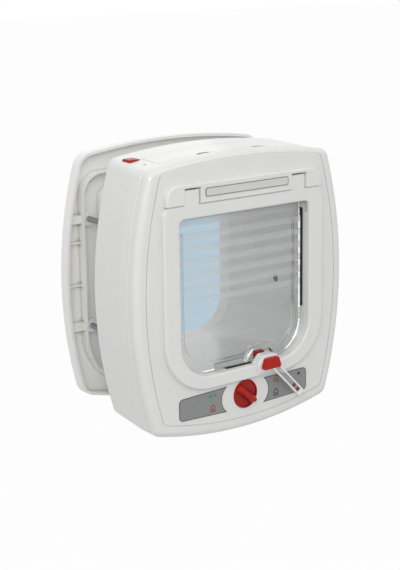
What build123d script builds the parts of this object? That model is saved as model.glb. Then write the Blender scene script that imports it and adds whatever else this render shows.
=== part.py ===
"""Cat flap for a door: bowed inner housing, clear swinging flap, four-way lock and outer frame.

Millimetres. The origin is the centre of the door cut-out on the room side of the door. X runs to the
right seen from the room, Y from the room towards the outside and Z up.
"""
import os

from build123d import *

os.makedirs("parts", exist_ok=True)

# Clearances
TOUCH = 0.02            # pieces of one assembly that sit in each other
RUNNING = 0.05          # a shaft turning in its bore
SLIDING = 0.3           # a guided plate or button in its opening
SEAT = 0.4              # a cover or sleeve in its opening

# Groove line on the panel. The bezel, the housing and the outer frame grow from it
GROOVE_W = 103.9        # half width at mid height
GROOVE_H = 115.3        # half height at the middle
TOP_BOW_R = 575.0       # large radii of the bowed top, sides and bottom
SIDE_BOW_R = 353.5
LOW_BOW_R = 364.0
GROOVE_R = 6.0
GROOVE_T = 0.7
GROOVE_DEPTH = 0.6
WALL = 2.5

# Growth beyond the groove line
RIM_SIDE = 10.5         # bezel
RIM_TOP = 4.3
RIM_LOW = 11.0
RIM_CORNER = 10.0
STEP = 0.3              # housing inside the bezel at their joint
BODY = 6.2              # housing at the door, all round
BODY_CORNER = 9.0
OUTER_SIDE = 10.9       # outer frame
OUTER_TOP = 6.8
OUTER_LOW = -1.5
OUTER_CORNER = 15.0

# Depths, room side negative
PANEL_Y = -66.0         # front panel face
PANEL_T = 2.5
RIM_DEPTH = 11.6        # panel face to the joint between bezel and housing
BAND_DEPTH = 11.4       # straight front band of the housing
RIM_R = 6.0             # rounded front edge of the bezel
BEAD_DEPTH = 6.6        # widest part of the rim, with a flange behind it
FLANGE_SET = 0.7
RIM_WALL = 2.5
JOINT_CHAMFER = 0.6     # both edges of the visible joint
DOOR_T = 36.0           # door clamped between the two frames
SPLIT_Y = PANEL_Y + RIM_DEPTH
BAND_Y = SPLIT_Y + BAND_DEPTH
PANEL_BACK = PANEL_Y + PANEL_T

# Cells above the tunnel
CELL_R = 7.15
CELL_LENGTH = 50.0
CELL_NUB = 1.0          # raised contact
CELL_NUB_R = 2.7
CELL_GAP = 0.1
TOP_SPACE = 7.7         # walls and gaps above and below two layers of cells

# Tunnel
SIDE_SPACE = 32.9       # groove line to the tunnel at the sides
LOCK_SPACE = 45.8       # groove line to the tunnel at the bottom
TUNNEL_W = GROOVE_W - SIDE_SPACE
TUNNEL_TOP = GROOVE_H - 4 * CELL_R - TOP_SPACE
TUNNEL_LOW = LOCK_SPACE - GROOVE_H
TUNNEL_TOP_R = 6.0
TUNNEL_LOW_R = 32.0
SLEEVE_GAP = 0.1        # sleeve to the back of the panel
SLEEVE_REACH = 8.0      # sleeve into the outer frame
FLOOR_CUT = 8.0         # height of the cuts through the tunnel floor
SLEEVE_FRONT = PANEL_BACK + SLEEVE_GAP
SLEEVE_END = DOOR_T + SLEEVE_REACH

# Flap
HINGE_SET = 8.0         # hinge behind the panel face
HINGE_DROP = 10.0       # hinge below the tunnel's top
HINGE_Y = PANEL_Y + HINGE_SET
HINGE_Z = TUNNEL_TOP - HINGE_DROP
ROD_R = 1.5
BARREL_R = 3.0
FLAP_GAP = 2.4          # flap to tunnel wall
FLAP_LIFT = 1.3         # flap to tunnel floor
FLAP_W = TUNNEL_W - FLAP_GAP
FLAP_LOW = TUNNEL_LOW + FLAP_LIFT
FLAP_LOW_R = TUNNEL_LOW_R - FLAP_GAP
FLAP_TOP_R = 0.5
PANE_T = 2.4
BEAD_T = 4.6
BEAD_W = 7.4
BEAD_DROP = 14.0        # bead starts below the hinge
MAGNET_X0 = -28.0
MAGNET_H = 4.6
MAGNET_T = 2.8
STRIP_T = 1.6           # draught strips on the tunnel walls
STRIP_D = 4.0
STRIP_DROP = 7.5        # strips start below the hinge
STRIP_LIFT = 42.0       # strips end above the tunnel floor

# Knob and lock
CAM_BITE = 1.8          # lobe above the flap's lower edge
CAM_CLEAR = 1.1         # lobe above the housing floor
CAM_BASE_R = 12.0
CAM_HUB_R = 8.0
CAM_T = 1.8
CAM_GAP = 0.8           # cam to flap bead, each side
CAM_EASE = 12.0         # degrees of lobe carried past its end position
CAM_SCREW_R = 1.5
CAM_SCREW_HEAD_R = 5.5
CAM_SCREW_HEAD = 1.8
CAM_SCREW_LENGTH = 9.0
IN_ONLY = 76.0          # knob angles of the other three settings
CLOSED = 180.0
OUT_ONLY = 256.0
HOUSING_FLOOR = -(GROOVE_H + RIM_LOW - STEP - WALL)
LOBE_TOP = FLAP_LOW + CAM_BITE
LOBE_LOW = HOUSING_FLOOR + CAM_CLEAR
KNOB_Z = (LOBE_TOP + LOBE_LOW) / 2
CAM_R = (LOBE_TOP - LOBE_LOW) / 2
CAM_FRONT = HINGE_Y - BEAD_T / 2 - CAM_GAP
CAM_BACK = HINGE_Y + BEAD_T / 2 + CAM_GAP
KNOB_R = 12.7
KNOB_RISE = 1.0         # knob face in front of the panel
KNOB_LIP = 1.1
DISH = 0.6
DIAL_DEPTH = 1.5        # round recess in the panel under the knob
GRIP_W = 9.0
GRIP_TIP = 13.3         # pointed end, from the knob's axis
GRIP_TAIL = 12.6
GRIP_RISE = 6.0
GRIP_TAPER = 28.0       # degrees
GRIP_ROUND = 4.2
GRIP_ANGLE = -40.0      # pointed end at rest, from +X towards +Z
SHAFT_R = 4.0
SHAFT_SHY = 0.2         # shaft ends inside the cam
SHAFT_END = CAM_BACK + CAM_T - SHAFT_SHY

# Window frame and hood
OPEN_W = TUNNEL_W
OPEN_TOP = HINGE_Z
OPEN_LIFT = 0.5         # sill above the tunnel floor
OPEN_LOW = TUNNEL_LOW + OPEN_LIFT
OPEN_TOP_R = 5.0
FRAME_SIDE = 16.4       # width of the surround at the sides and the top
FRAME_HEAD = 12.0
FRAME_W = OPEN_W + FRAME_SIDE
FRAME_TOP = OPEN_TOP + FRAME_HEAD
FRAME_LOW = KNOB_Z + GRIP_TIP + SEAT
FRAME_TOP_R = 8.0
FRAME_LOW_SIDE = 14.0
FRAME_LOW_R = TUNNEL_LOW_R + FRAME_LOW_SIDE
FRAME_RISE = 4.0
FRAME_ROUND = 1.8
LIP_T = 2.4
LIP_W = 4.0
LIP_DROP = 11.0         # lip and panel opening from the top of the window
PORT_LIFT = 8.0
LIP_TOP = OPEN_TOP - LIP_DROP
PORT_TOP = OPEN_TOP + PORT_LIFT
PORT_R = 8.0
TAB_IN = 50.0
TAB_OUT = 66.0
TAB_X = (TAB_IN + TAB_OUT) / 2
TAB_H = 11.9            # tabs above the hood's lower edge
TAB_SET = 1.4           # tabs in front of the panel
TAB_R = 1.5
TAB_ROOT = 4.0
SLOT_W = 14.0           # slots above the tabs and at the battery cover
SLOT_H = 1.6
HOOD_GAP = 0.5
HOOD_H = 16.7
HOOD_INSET = 2.9
HOOD_W = FRAME_W - HOOD_INSET
HOOD_LOW = FRAME_TOP + HOOD_GAP
HOOD_TOP = HOOD_LOW + HOOD_H
HOOD_R = 12.0
HOOD_RISE = 5.0
HOOD_ROUND = 1.5
HOOD_Y = PANEL_Y - HOOD_RISE
TAB_TOP = HOOD_LOW + TAB_H
PLATE_W = 90.0
PLATE_H = 7.4
PLATE_R = 2.0
PLATE_T = 0.5

# Labels
LABEL_IN = 20.8
LEFT_LABEL_OUT = 72.3
RIGHT_LABEL_OUT = 70.9
LABEL_IN_H = 22.8
LABEL_OUT_LOW = 9.7     # outer corners below and above the labels' middle
LEFT_LABEL_OUT_TOP = 9.7
RIGHT_LABEL_OUT_TOP = 11.4
LABEL_R = 4.0
LABEL_T = 0.4
LABEL_HOLLOW_R = 14.2
LABEL_HOLLOW_X = 12.2
LABEL_DROP = 0.8
LABEL_Z = KNOB_Z - LABEL_DROP

# Passage indicator
ROCKER_X = 23.0
ROCKER_LIFT = 1.0
ROCKER_Z = OPEN_LOW + ROCKER_LIFT
ROCKER_R = 3.0
ROCKER_SLOT = 1.2       # tunnel floor to the shaft, each side
ROCKER_END = 3.5        # shaft behind the flap's middle
TAIL_W = 9.0
TAIL_D = 5.0
TAIL_H = 5.4
CAP_W = 21.0
CAP_H = 10.0
CAP_T = 3.8
CAP_SLOPE = 72.0        # degrees
CAP_ROUND = 2.0
CAP_EDGE = 0.8
CAP_DROP = 0.8
POINTER_ANGLE = -46.0
POINTER_ROOT = 3.0
POINTER_REACH = 49.5
POINTER_W = 7.2
POINTER_T = 2.4
POINTER_SET = 1.0       # pointer in front of the hump
POINTER_RAIL = 1.4      # raised rails along the pointer
POINTER_END = 4.0       # ends of the hollow between the rails
POINTER_HOLLOW = 0.6
HUMP_RISE = 6.8         # hump in front of the panel
HUMP_H = 6.5            # hump above the indicator shaft
HUMP_CROWN = 7.0        # half widths at the top, the shoulder and the foot
HUMP_W = 14.0
HUMP_FOOT = 12.0
HUMP_SHOULDER = 1.5     # shoulder below the shaft
HUMP_R = 4.0
HUMP_DEPTH = 10.0       # foot below the shaft
NOTCH_GAP = 2.9
NOTCH_RIM = 6.5         # thickened arch round the notch, beyond the hump
HUMP_FRONT = PANEL_Y - HUMP_RISE
MAGNET_SHY = 2.0        # magnet ends beside the notch
MAGNET_X1 = ROCKER_X - HUMP_W - NOTCH_GAP - MAGNET_SHY

# Latch
LATCH_X = -32.0
LATCH_W = 8.0
LATCH_T = 2.0
LATCH_H = 14.0
LATCH_FOOT_T = 3.0
LATCH_Y = HINGE_Y - BEAD_T / 2 - CAM_GAP - LATCH_T / 2
LATCH_DROP = 0.5        # latch below the tunnel floor at rest
LATCH_TOP = TUNNEL_LOW - LATCH_DROP
LATCH_FOOT = LATCH_TOP - LATCH_H
PLUNGER_R = 2.0
PLUNGER_H = 13.0
PLUNGER_FIT = 0.1
SOLENOID_W = 14.0
SOLENOID_D = 12.0
SOLENOID_H = 16.0
SOLENOID_SET = 12.5     # solenoid behind the flap
SOLENOID_DROP = 10.0
SHELF_EDGE = 1.0
SOLENOID_Y = HINGE_Y + SOLENOID_SET
SOLENOID_Z = LATCH_FOOT - SOLENOID_DROP
FRAME_MAGNET_X = -22.5
FRAME_MAGNET_W = 7.0
FRAME_MAGNET_D = 4.0
FRAME_MAGNET_H = 5.0

# Battery cover, tray and pairing button
COVER_SIDE = 28.4       # groove line to the battery opening
COVER_D = 27.0
COVER_W = GROOVE_W - COVER_SIDE
COVER_SET = 17.0        # battery opening behind the panel face
COVER_FRONT = PANEL_Y + COVER_SET
COVER_BACK = COVER_FRONT + COVER_D
COVER_Y = (COVER_FRONT + COVER_BACK) / 2
SLOT_X = 30.0           # finger notches at the front of the battery opening
TRAY_WALL = 1.8
TRAY_ROOM = 5.2         # contacts and gaps along the cells
TRAY_W = CELL_LENGTH + TRAY_WALL + TRAY_ROOM
TRAY_SET = 0.5
TRAY_SLACK = 3.1
TRAY_EDGE = 1.2         # tray above the cells
TRAY_Y = COVER_Y - TRAY_SET
TRAY_D = 2 * (CELL_R + TRAY_WALL) + TRAY_SLACK
TRAY_LOW = TUNNEL_TOP + WALL
CONTACT_T = 0.5
CONTACT_D = 12.0
CONTACT_H = 24.0
LEAF_D = 8.0
LEAF_FOOT = 4.0         # half widths of a spring leaf at its foot and its tip
LEAF_TOE = 1.0
LEAF_T = 0.6
CONTACT_EXTRA = 3.0
TOP_CUT_DROP = 3.3
TOP_CUT_Z = GROOVE_H - TOP_CUT_DROP     # middle of the cuts through the top
TOP_CUT = 30.0
BUTTON_W = 11.0
BUTTON_D = 11.6
BUTTON_H = 8.0
BUTTON_R = 1.5
BUTTON_EDGE = 0.6
BUTTON_SIDE = 7.5       # button beside the battery opening
BUTTON_PROUD = 0.4
BUTTON_X = -(COVER_W + BUTTON_SIDE)
BUTTON_Y = -19.5
BUTTON_TOP = GROOVE_H + BUTTON_PROUD
BUTTON_STEM = 4.0
LED_R = 1.2
LED_H = 8.0
LED_SIDE = 1.0
LED_SET = 9.0
LED_X = BUTTON_X - LED_SIDE
LED_Y = COVER_FRONT + LED_SET
BOARD_DROP = 19.3       # board below the groove line
BOARD_SIDE = 12.5
BOARD_GAP = 5.6
BOARD_Z = GROOVE_H - BOARD_DROP
BOARD_T = 1.6
BOARD_Y = -24.0
BOARD_D = 38.0
BOARD_OUT = GROOVE_W - BOARD_SIDE
BOARD_IN = TRAY_W + BOARD_GAP
BOARD_RAIL = 1.6
BOARD_RAIL_D = 44.0
BOARD_RAIL_H = 6.0
CHIP_W = 9.0
CHIP_T = 1.6
SWITCH_W = 6.0
SWITCH_H = 4.0
SWITCH_R = 1.6
SWITCH_STROKE = 1.4
SWITCH_STEM = 2.4

# Outer frame and screws
OUTER_T = 11.6
OUTER_FLOOR = 3.6
OUTER_ROUND = 2.5
COLLAR_REACH = 24.0
COLLAR_WALL = 2.2
COLLAR_ROUND = 1.8
COLLAR_END = DOOR_T + COLLAR_REACH
FLOOR_Y = DOOR_T + OUTER_T - OUTER_FLOOR
RING_SIDE = 7.6         # ring wall in the tray, inside the groove line
RING_TOP = 17.1
RING_LOW = 17.0
RING_TOP_R = 21.0
RING_LOW_R = 51.5
RING_T = 1.8
RIB_ZS = (37.0, -1.0)
RIB_T = 1.6
RIB_RISE = 3.5
RIB_LENGTH = 30.0
WEB_T = 7.0
WEB_RISE = 6.0
BOSS_R = 5.8
BOSS_SET = 0.5
SCREW_SIDE = 13.4       # groove line to the clamp screws
SCREW_X = GROOVE_W - SCREW_SIDE
SCREW_ZS = (58.0, -38.0)
SCREW_R = 2.0
SCREW_ROOM = 0.25
SCREW_HEAD_R = 3.8
SCREW_HEAD = 3.0
SCREW_SHY = 2.0         # screws end inside the outer frame
SCREW_END = DOOR_T + OUTER_T - SCREW_SHY
WELL_R = 6.5
WELL_DEPTH = 40.0
WELL_SEAT = -6.0
CASE_SIDE = 19.9        # groove line to the upper housing screws
CASE_LOW_SIDE = 23.9
CASE_END = 27.3
CASE_R = 1.5
CASE_ROOM = 0.2
CASE_HEAD_R = 2.9
CASE_HEAD = 2.6
CASE_SEAT = -10.0
CASE_BITE = 7.5         # screw into the bezel
CASE_BOSS_R = 4.5

# Sensor and reading coil
SENSOR_Y = -23.0
SENSOR_Z = -9.0
SENSOR_R = 3.3
SENSOR_FLANGE = 1.2
COIL_Y = -8.0
COIL_D = 8.0
COIL_T = 3.2


def facing(y):
    """Plane across the tunnel at depth y, drawn as seen from the room (local x = X, local y = Z)."""
    return Plane.XZ.offset(-y)


def across(x, y, z):
    """Place for a round piece that lies along X."""
    return Location((x, y, z), (0, 90, 0))


def bowed_face(side, top, low, corner):
    """Bowed outline grown beyond the groove line at the sides, the top and the bottom."""
    with BuildSketch() as outline:
        with Locations((0, GROOVE_H - TOP_BOW_R)):
            Circle(TOP_BOW_R + top)
        with Locations((0, LOW_BOW_R - GROOVE_H)):
            Circle(LOW_BOW_R + low, mode=Mode.INTERSECT)
        with Locations((SIDE_BOW_R - GROOVE_W, 0)):
            Circle(SIDE_BOW_R + side, mode=Mode.INTERSECT)
        with Locations(Location((GROOVE_W - SIDE_BOW_R, 0), 180)):
            Circle(SIDE_BOW_R + side, mode=Mode.INTERSECT)
        fillet(outline.vertices(), corner)
    return outline.face()


def groove_face(grow):
    """Groove line grown outwards by grow."""
    return bowed_face(grow, grow, grow, GROOVE_R + grow)


def rim_face(inset):
    """Bezel outline made smaller by inset."""
    return bowed_face(RIM_SIDE - inset, RIM_TOP - inset, RIM_LOW - inset, RIM_CORNER - inset)


def outer_face(inset):
    """Outline of the outer frame made smaller by inset."""
    return bowed_face(OUTER_SIDE - inset, OUTER_TOP - inset, OUTER_LOW - inset, OUTER_CORNER - inset)


def body_solid(inset, rear):
    """Body of the housing made smaller by inset: it widens from depth rear to a straight front band."""
    grow = BODY - inset
    with BuildPart() as body:
        with BuildSketch(facing(rear)):
            add(bowed_face(grow, grow, grow, BODY_CORNER - inset))
        with BuildSketch(facing(BAND_Y)):
            add(rim_face(STEP + inset))
        loft(ruled=True)
        with BuildSketch(facing(BAND_Y)):
            add(rim_face(STEP + inset))
        extrude(amount=BAND_Y - SPLIT_Y)
    return body.part


def window_face(half, top, low, top_r, low_r):
    """Upright opening of half width half from low to top, with its own upper and lower corner radii."""
    with BuildSketch() as outline:
        with Locations((0, (top + low) / 2)):
            Rectangle(2 * half, top - low)
        fillet(outline.vertices().group_by(Axis.Y)[-1], top_r)
        fillet(outline.vertices().group_by(Axis.Y)[0], low_r)
    return outline.face()


def tunnel_face(grow):
    """Tunnel section grown outwards by grow."""
    return window_face(TUNNEL_W + grow, TUNNEL_TOP + grow, TUNNEL_LOW - grow, TUNNEL_TOP_R + grow,
                       TUNNEL_LOW_R + grow)


def ring_face(inset):
    """Ring wall in the outer frame, made smaller by inset."""
    return window_face(GROOVE_W - RING_SIDE - inset, GROOVE_H - RING_TOP - inset,
                       RING_LOW - GROOVE_H + inset, RING_TOP_R - inset, RING_LOW_R - inset)


def sector_face(radius, start, end):
    """Sector of a disc about the knob axis, from angle start to angle end."""
    with BuildSketch() as outline:
        with BuildLine():
            arc = CenterArc((0, 0), radius, start, end - start)
            Line((0, 0), arc @ 0)
            Line(arc @ 1, (0, 0))
        make_face()
    return outline.face()


def hump_face(grow, low):
    """Hump over the indicator shaft on the sill, grown by grow and cut off at low."""
    shoulder = ROCKER_Z - HUMP_SHOULDER
    top = ROCKER_Z + HUMP_H + grow
    with BuildSketch() as outline:
        with BuildLine():
            Polyline((ROCKER_X - HUMP_FOOT - grow, low), (ROCKER_X + HUMP_FOOT + grow, low),
                     (ROCKER_X + HUMP_W + grow, shoulder), (ROCKER_X + HUMP_CROWN + grow, top),
                     (ROCKER_X - HUMP_CROWN - grow, top), (ROCKER_X - HUMP_W - grow, shoulder), close=True)
        make_face()
        fillet(outline.vertices().group_by(Axis.Y)[-1], HUMP_R + grow)
    return outline.face()


def flap_face():
    """Outline of the flap below its hinge."""
    return window_face(FLAP_W, HINGE_Z, FLAP_LOW, FLAP_TOP_R, FLAP_LOW_R)


def label_face(side, out, out_top):
    """Label on side -1 or 1 that reaches to out, its upper outer corner out_top above its middle."""
    with BuildSketch() as outline:
        with BuildLine():
            Polyline((side * LABEL_IN, LABEL_Z - LABEL_IN_H / 2), (side * out, LABEL_Z - LABEL_OUT_LOW),
                     (side * out, LABEL_Z + out_top), (side * LABEL_IN, LABEL_Z + LABEL_IN_H / 2), close=True)
        make_face()
        fillet(outline.vertices().sort_by(Axis.X)[::-side][:2], LABEL_R)
        with Locations((side * LABEL_HOLLOW_X, LABEL_Z)):
            Circle(LABEL_HOLLOW_R, mode=Mode.SUBTRACT)
    return outline.face()


def mirrored(points):
    """Points and their mirror images in the middle plane."""
    return [(side * x, z) for x, z in points for side in (-1, 1)]


CLAMP_POINTS = mirrored([(SCREW_X, z) for z in SCREW_ZS])
CASE_POINTS = mirrored([(GROOVE_W - CASE_SIDE, GROOVE_H - CASE_END),
                        (GROOVE_W - CASE_LOW_SIDE, CASE_END - GROOVE_H)])
TAB_POINTS = mirrored([(TAB_X, TAB_TOP)])

# Front panel with its rounded rim, the groove line, the hood and the opening behind the window frame
with BuildPart() as front_bezel:
    with BuildSketch(facing(PANEL_Y + BEAD_DEPTH)):
        add(rim_face(0))
    extrude(amount=BEAD_DEPTH)
    fillet(front_bezel.faces().sort_by(Axis.Y)[0].edges(), RIM_R)
    with BuildSketch(facing(SPLIT_Y)):
        add(rim_face(FLANGE_SET))
    extrude(amount=RIM_DEPTH - RIM_R)
    chamfer(front_bezel.faces().sort_by(Axis.Y)[-1].edges(), JOINT_CHAMFER)
    with BuildSketch(facing(SPLIT_Y)):
        add(rim_face(RIM_WALL))
    extrude(amount=RIM_DEPTH - PANEL_T, mode=Mode.SUBTRACT)
    with BuildSketch(facing(PANEL_Y)) as hood_sketch:
        with Locations((0, (HOOD_TOP + HOOD_LOW) / 2)):
            Rectangle(2 * HOOD_W, HOOD_H)
        fillet(hood_sketch.vertices().group_by(Axis.Y)[-1], HOOD_R)
    extrude(amount=HOOD_RISE)
    fillet(front_bezel.faces().sort_by(Axis.Y)[0].edges().group_by(Axis.Z)[-1], HOOD_ROUND)
    # Notches in the hood for the tabs, with a slot through the panel above each tab
    with BuildSketch(facing(PANEL_Y - TAB_SET + SLIDING)):
        with Locations(*mirrored([(TAB_X, HOOD_LOW)])):
            Rectangle(TAB_OUT - TAB_IN + 2 * SEAT, 2 * (TAB_H + SLOT_H))
    extrude(amount=HOOD_RISE, mode=Mode.SUBTRACT)
    with BuildSketch(facing(PANEL_BACK)):
        with Locations(*TAB_POINTS):
            Rectangle(SLOT_W, SLOT_H, align=(Align.CENTER, Align.MIN))
    extrude(amount=PANEL_T + HOOD_RISE, mode=Mode.SUBTRACT)
    with BuildSketch(facing(PANEL_BACK)):
        add(window_face(OPEN_W + LIP_W + SLIDING, PORT_TOP, OPEN_LOW - LIP_W - SLIDING, PORT_R,
                        TUNNEL_LOW_R + LIP_W + SLIDING))
    extrude(amount=PANEL_T, mode=Mode.SUBTRACT)
    with BuildSketch(facing(PANEL_Y + GROOVE_DEPTH)):
        add(groove_face(GROOVE_T / 2))
        add(groove_face(-GROOVE_T / 2), mode=Mode.SUBTRACT)
    extrude(amount=GROOVE_DEPTH, mode=Mode.SUBTRACT)
    with BuildSketch(facing(SPLIT_Y)):
        with Locations(*CASE_POINTS):
            Circle(CASE_BOSS_R)
    extrude(amount=RIM_DEPTH - PANEL_T)
    with BuildSketch(facing(SPLIT_Y)):
        with Locations(*CASE_POINTS):
            Circle(CASE_R + TOUCH)
    extrude(amount=CASE_BITE + SLIDING, mode=Mode.SUBTRACT)
    # Round recess for the knob and the bore for its shaft
    with BuildSketch(facing(PANEL_Y + DIAL_DEPTH)):
        with Locations((0, KNOB_Z)):
            Circle(KNOB_R + SEAT)
    extrude(amount=DIAL_DEPTH, mode=Mode.SUBTRACT)
    with BuildSketch(facing(PANEL_BACK)):
        with Locations((0, KNOB_Z)):
            Circle(SHAFT_R + RUNNING)
    extrude(amount=PANEL_T, mode=Mode.SUBTRACT)
front_bezel.part.label = "front_bezel"

# Deep box with the tunnel sleeve. Sleeve, screw wells and shelves belong to this one moulding
CAM_SLOT_W = 2 * ((CAM_R ** 2 - (TUNNEL_LOW - WALL - KNOB_Z) ** 2) ** 0.5 + CAM_GAP)
CAM_SLOT_D = 2 * (CAM_BACK + CAM_T + CAM_GAP - SLEEVE_FRONT)
LATCH_SLOT_D = 2 * (LATCH_Y + LATCH_T / 2 + SLIDING - SLEEVE_FRONT)
ROCKER_SLOT_D = 2 * (HINGE_Y + ROCKER_END + 2 * ROCKER_SLOT + TAIL_D / 2 - SLEEVE_FRONT)
with BuildPart() as rear_housing:
    add(body_solid(0, 0))
    chamfer(rear_housing.faces().sort_by(Axis.Y)[0].edges(), JOINT_CHAMFER)
    add(body_solid(WALL, -WALL), mode=Mode.SUBTRACT)
    with BuildSketch(facing(SLEEVE_END)):
        add(tunnel_face(WALL))
    extrude(amount=SLEEVE_END - SLEEVE_FRONT)
    with BuildSketch(facing(0)):
        with Locations(*CLAMP_POINTS):
            Circle(WELL_R)
    extrude(amount=WELL_DEPTH)
    with BuildSketch(facing(0)):
        with Locations(*CASE_POINTS):
            Circle(CASE_BOSS_R)
    extrude(amount=-SPLIT_Y)
    # Tunnel, screw seats and screw holes
    with BuildSketch(facing(SLEEVE_END)):
        add(tunnel_face(0))
    extrude(amount=SLEEVE_END - SLEEVE_FRONT, mode=Mode.SUBTRACT)
    with BuildSketch(facing(WELL_SEAT)):
        with Locations(*CLAMP_POINTS):
            Circle(SCREW_HEAD_R + SEAT)
    extrude(amount=WELL_DEPTH, mode=Mode.SUBTRACT)
    with BuildSketch(facing(0)):
        with Locations(*CLAMP_POINTS):
            Circle(SCREW_R + SCREW_ROOM)
    extrude(amount=-WELL_SEAT, mode=Mode.SUBTRACT)
    with BuildSketch(facing(0)):
        with Locations(*CASE_POINTS):
            Circle(CASE_R + CASE_ROOM)
    extrude(amount=-SPLIT_Y, mode=Mode.SUBTRACT)
    with BuildSketch(facing(0)):
        with Locations(*CASE_POINTS):
            Circle(CASE_HEAD_R + SEAT)
    extrude(amount=-CASE_SEAT, mode=Mode.SUBTRACT)
    # Openings in the top for the battery cover with its finger notches, the button and the light
    with Locations((0, COVER_Y, TOP_CUT_Z)):
        Box(2 * COVER_W, COVER_D, TOP_CUT, mode=Mode.SUBTRACT)
    with Locations((-SLOT_X, COVER_FRONT, TOP_CUT_Z), (SLOT_X, COVER_FRONT, TOP_CUT_Z)):
        Box(SLOT_W, 2 * SLOT_H, TOP_CUT, mode=Mode.SUBTRACT)
    with Locations((BUTTON_X, BUTTON_Y, TOP_CUT_Z)):
        Box(BUTTON_W + 2 * SLIDING, BUTTON_D + 2 * SLIDING, TOP_CUT, mode=Mode.SUBTRACT)
    with Locations((LED_X, LED_Y, TOP_CUT_Z)):
        Cylinder(LED_R + TOUCH, TOP_CUT, mode=Mode.SUBTRACT)
    # Slots in the tunnel floor for the lock cams, the latch and the indicator
    with Locations((0, SLEEVE_FRONT, TUNNEL_LOW)):
        Box(CAM_SLOT_W, CAM_SLOT_D, FLOOR_CUT, mode=Mode.SUBTRACT)
    with Locations((LATCH_X, SLEEVE_FRONT, TUNNEL_LOW)):
        Box(LATCH_W + 2 * SLIDING, LATCH_SLOT_D, FLOOR_CUT, mode=Mode.SUBTRACT)
    with Locations((ROCKER_X, SLEEVE_FRONT, TUNNEL_LOW)):
        Box(2 * (ROCKER_R + ROCKER_SLOT), ROCKER_SLOT_D, FLOOR_CUT, mode=Mode.SUBTRACT)
    # Hinge bores and sensor holes through the sleeve walls
    with Locations(across(0, HINGE_Y, HINGE_Z)):
        Cylinder(ROD_R + TOUCH, 2 * (TUNNEL_W + WALL), mode=Mode.SUBTRACT)
    with Locations(across(0, SENSOR_Y, SENSOR_Z)):
        Cylinder(SENSOR_R + TOUCH, 2 * (TUNNEL_W + WALL), mode=Mode.SUBTRACT)
    # Shelf under the solenoid and rails under the board, both from the back wall
    with Locations((LATCH_X, -WALL / 2, SOLENOID_Z - SOLENOID_H / 2)):
        Box(SOLENOID_W + 2 * SHELF_EDGE, SOLENOID_D / 2 - SOLENOID_Y, WALL,
            align=(Align.CENTER, Align.MAX, Align.MAX))
    rails = [(BOARD_RAIL - BOARD_OUT, -WALL / 2, BOARD_Z), (-BOARD_IN - BOARD_RAIL, -WALL / 2, BOARD_Z)]
    with Locations(*rails):
        Box(BOARD_RAIL, BOARD_RAIL_D, BOARD_RAIL_H, align=(Align.CENTER, Align.MAX, Align.MAX))
rear_housing.part.label = "rear_housing"

# Raised surround of the window with two tabs into the hood and the hump for the indicator
with BuildPart() as window_frame:
    with BuildSketch(facing(PANEL_Y)):
        add(window_face(FRAME_W, FRAME_TOP, FRAME_LOW, FRAME_TOP_R, FRAME_LOW_R))
    extrude(amount=FRAME_RISE)
    with BuildSketch(facing(PANEL_Y - TAB_SET)):
        with Locations(*TAB_POINTS):
            RectangleRounded(TAB_OUT - TAB_IN, TAB_TOP - FRAME_TOP + TAB_ROOT, TAB_R,
                             align=(Align.CENTER, Align.MAX))
    extrude(amount=FRAME_RISE - TAB_SET)
    with BuildSketch(facing(PANEL_Y + LIP_T)):
        add(window_face(OPEN_W + LIP_W, LIP_TOP, OPEN_LOW - LIP_W, FLAP_TOP_R, TUNNEL_LOW_R + LIP_W))
    extrude(amount=LIP_T)
    with BuildSketch(facing(PANEL_Y + LIP_T)):
        add(window_face(OPEN_W, OPEN_TOP, OPEN_LOW, OPEN_TOP_R, TUNNEL_LOW_R))
    extrude(amount=LIP_T + FRAME_RISE, mode=Mode.SUBTRACT)
    fillet(window_frame.faces().sort_by(Axis.Y)[0].edges(), FRAME_ROUND)
    with BuildSketch(facing(PANEL_Y)):
        add(hump_face(0, ROCKER_Z - HUMP_DEPTH))
    extrude(amount=HUMP_RISE)
    with BuildSketch(facing(PANEL_Y + LIP_T)):
        add(hump_face(0, OPEN_LOW - LIP_W))
    extrude(amount=LIP_T)
    fillet(window_frame.faces().sort_by(Axis.Y)[0].edges(), FRAME_ROUND)
    with BuildSketch(facing(PANEL_Y + LIP_T)):
        with Locations((ROCKER_X, ROCKER_Z)):
            Circle(ROCKER_R + RUNNING)
    extrude(amount=LIP_T + HUMP_RISE, mode=Mode.SUBTRACT)
window_frame.part.label = "window_frame"

with BuildPart() as nameplate:
    with BuildSketch(facing(HOOD_Y)):
        with Locations((0, (HOOD_TOP + HOOD_LOW) / 2)):
            RectangleRounded(PLATE_W, PLATE_H, PLATE_R)
    extrude(amount=PLATE_T)
nameplate.part.label = "nameplate"

with BuildPart() as left_label:
    with BuildSketch(facing(PANEL_Y)):
        add(label_face(-1, LEFT_LABEL_OUT, LEFT_LABEL_OUT_TOP))
    extrude(amount=LABEL_T)
left_label.part.label = "left_label"

with BuildPart() as right_label:
    with BuildSketch(facing(PANEL_Y)):
        add(label_face(1, RIGHT_LABEL_OUT, RIGHT_LABEL_OUT_TOP))
    extrude(amount=LABEL_T)
right_label.part.label = "right_label"

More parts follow.
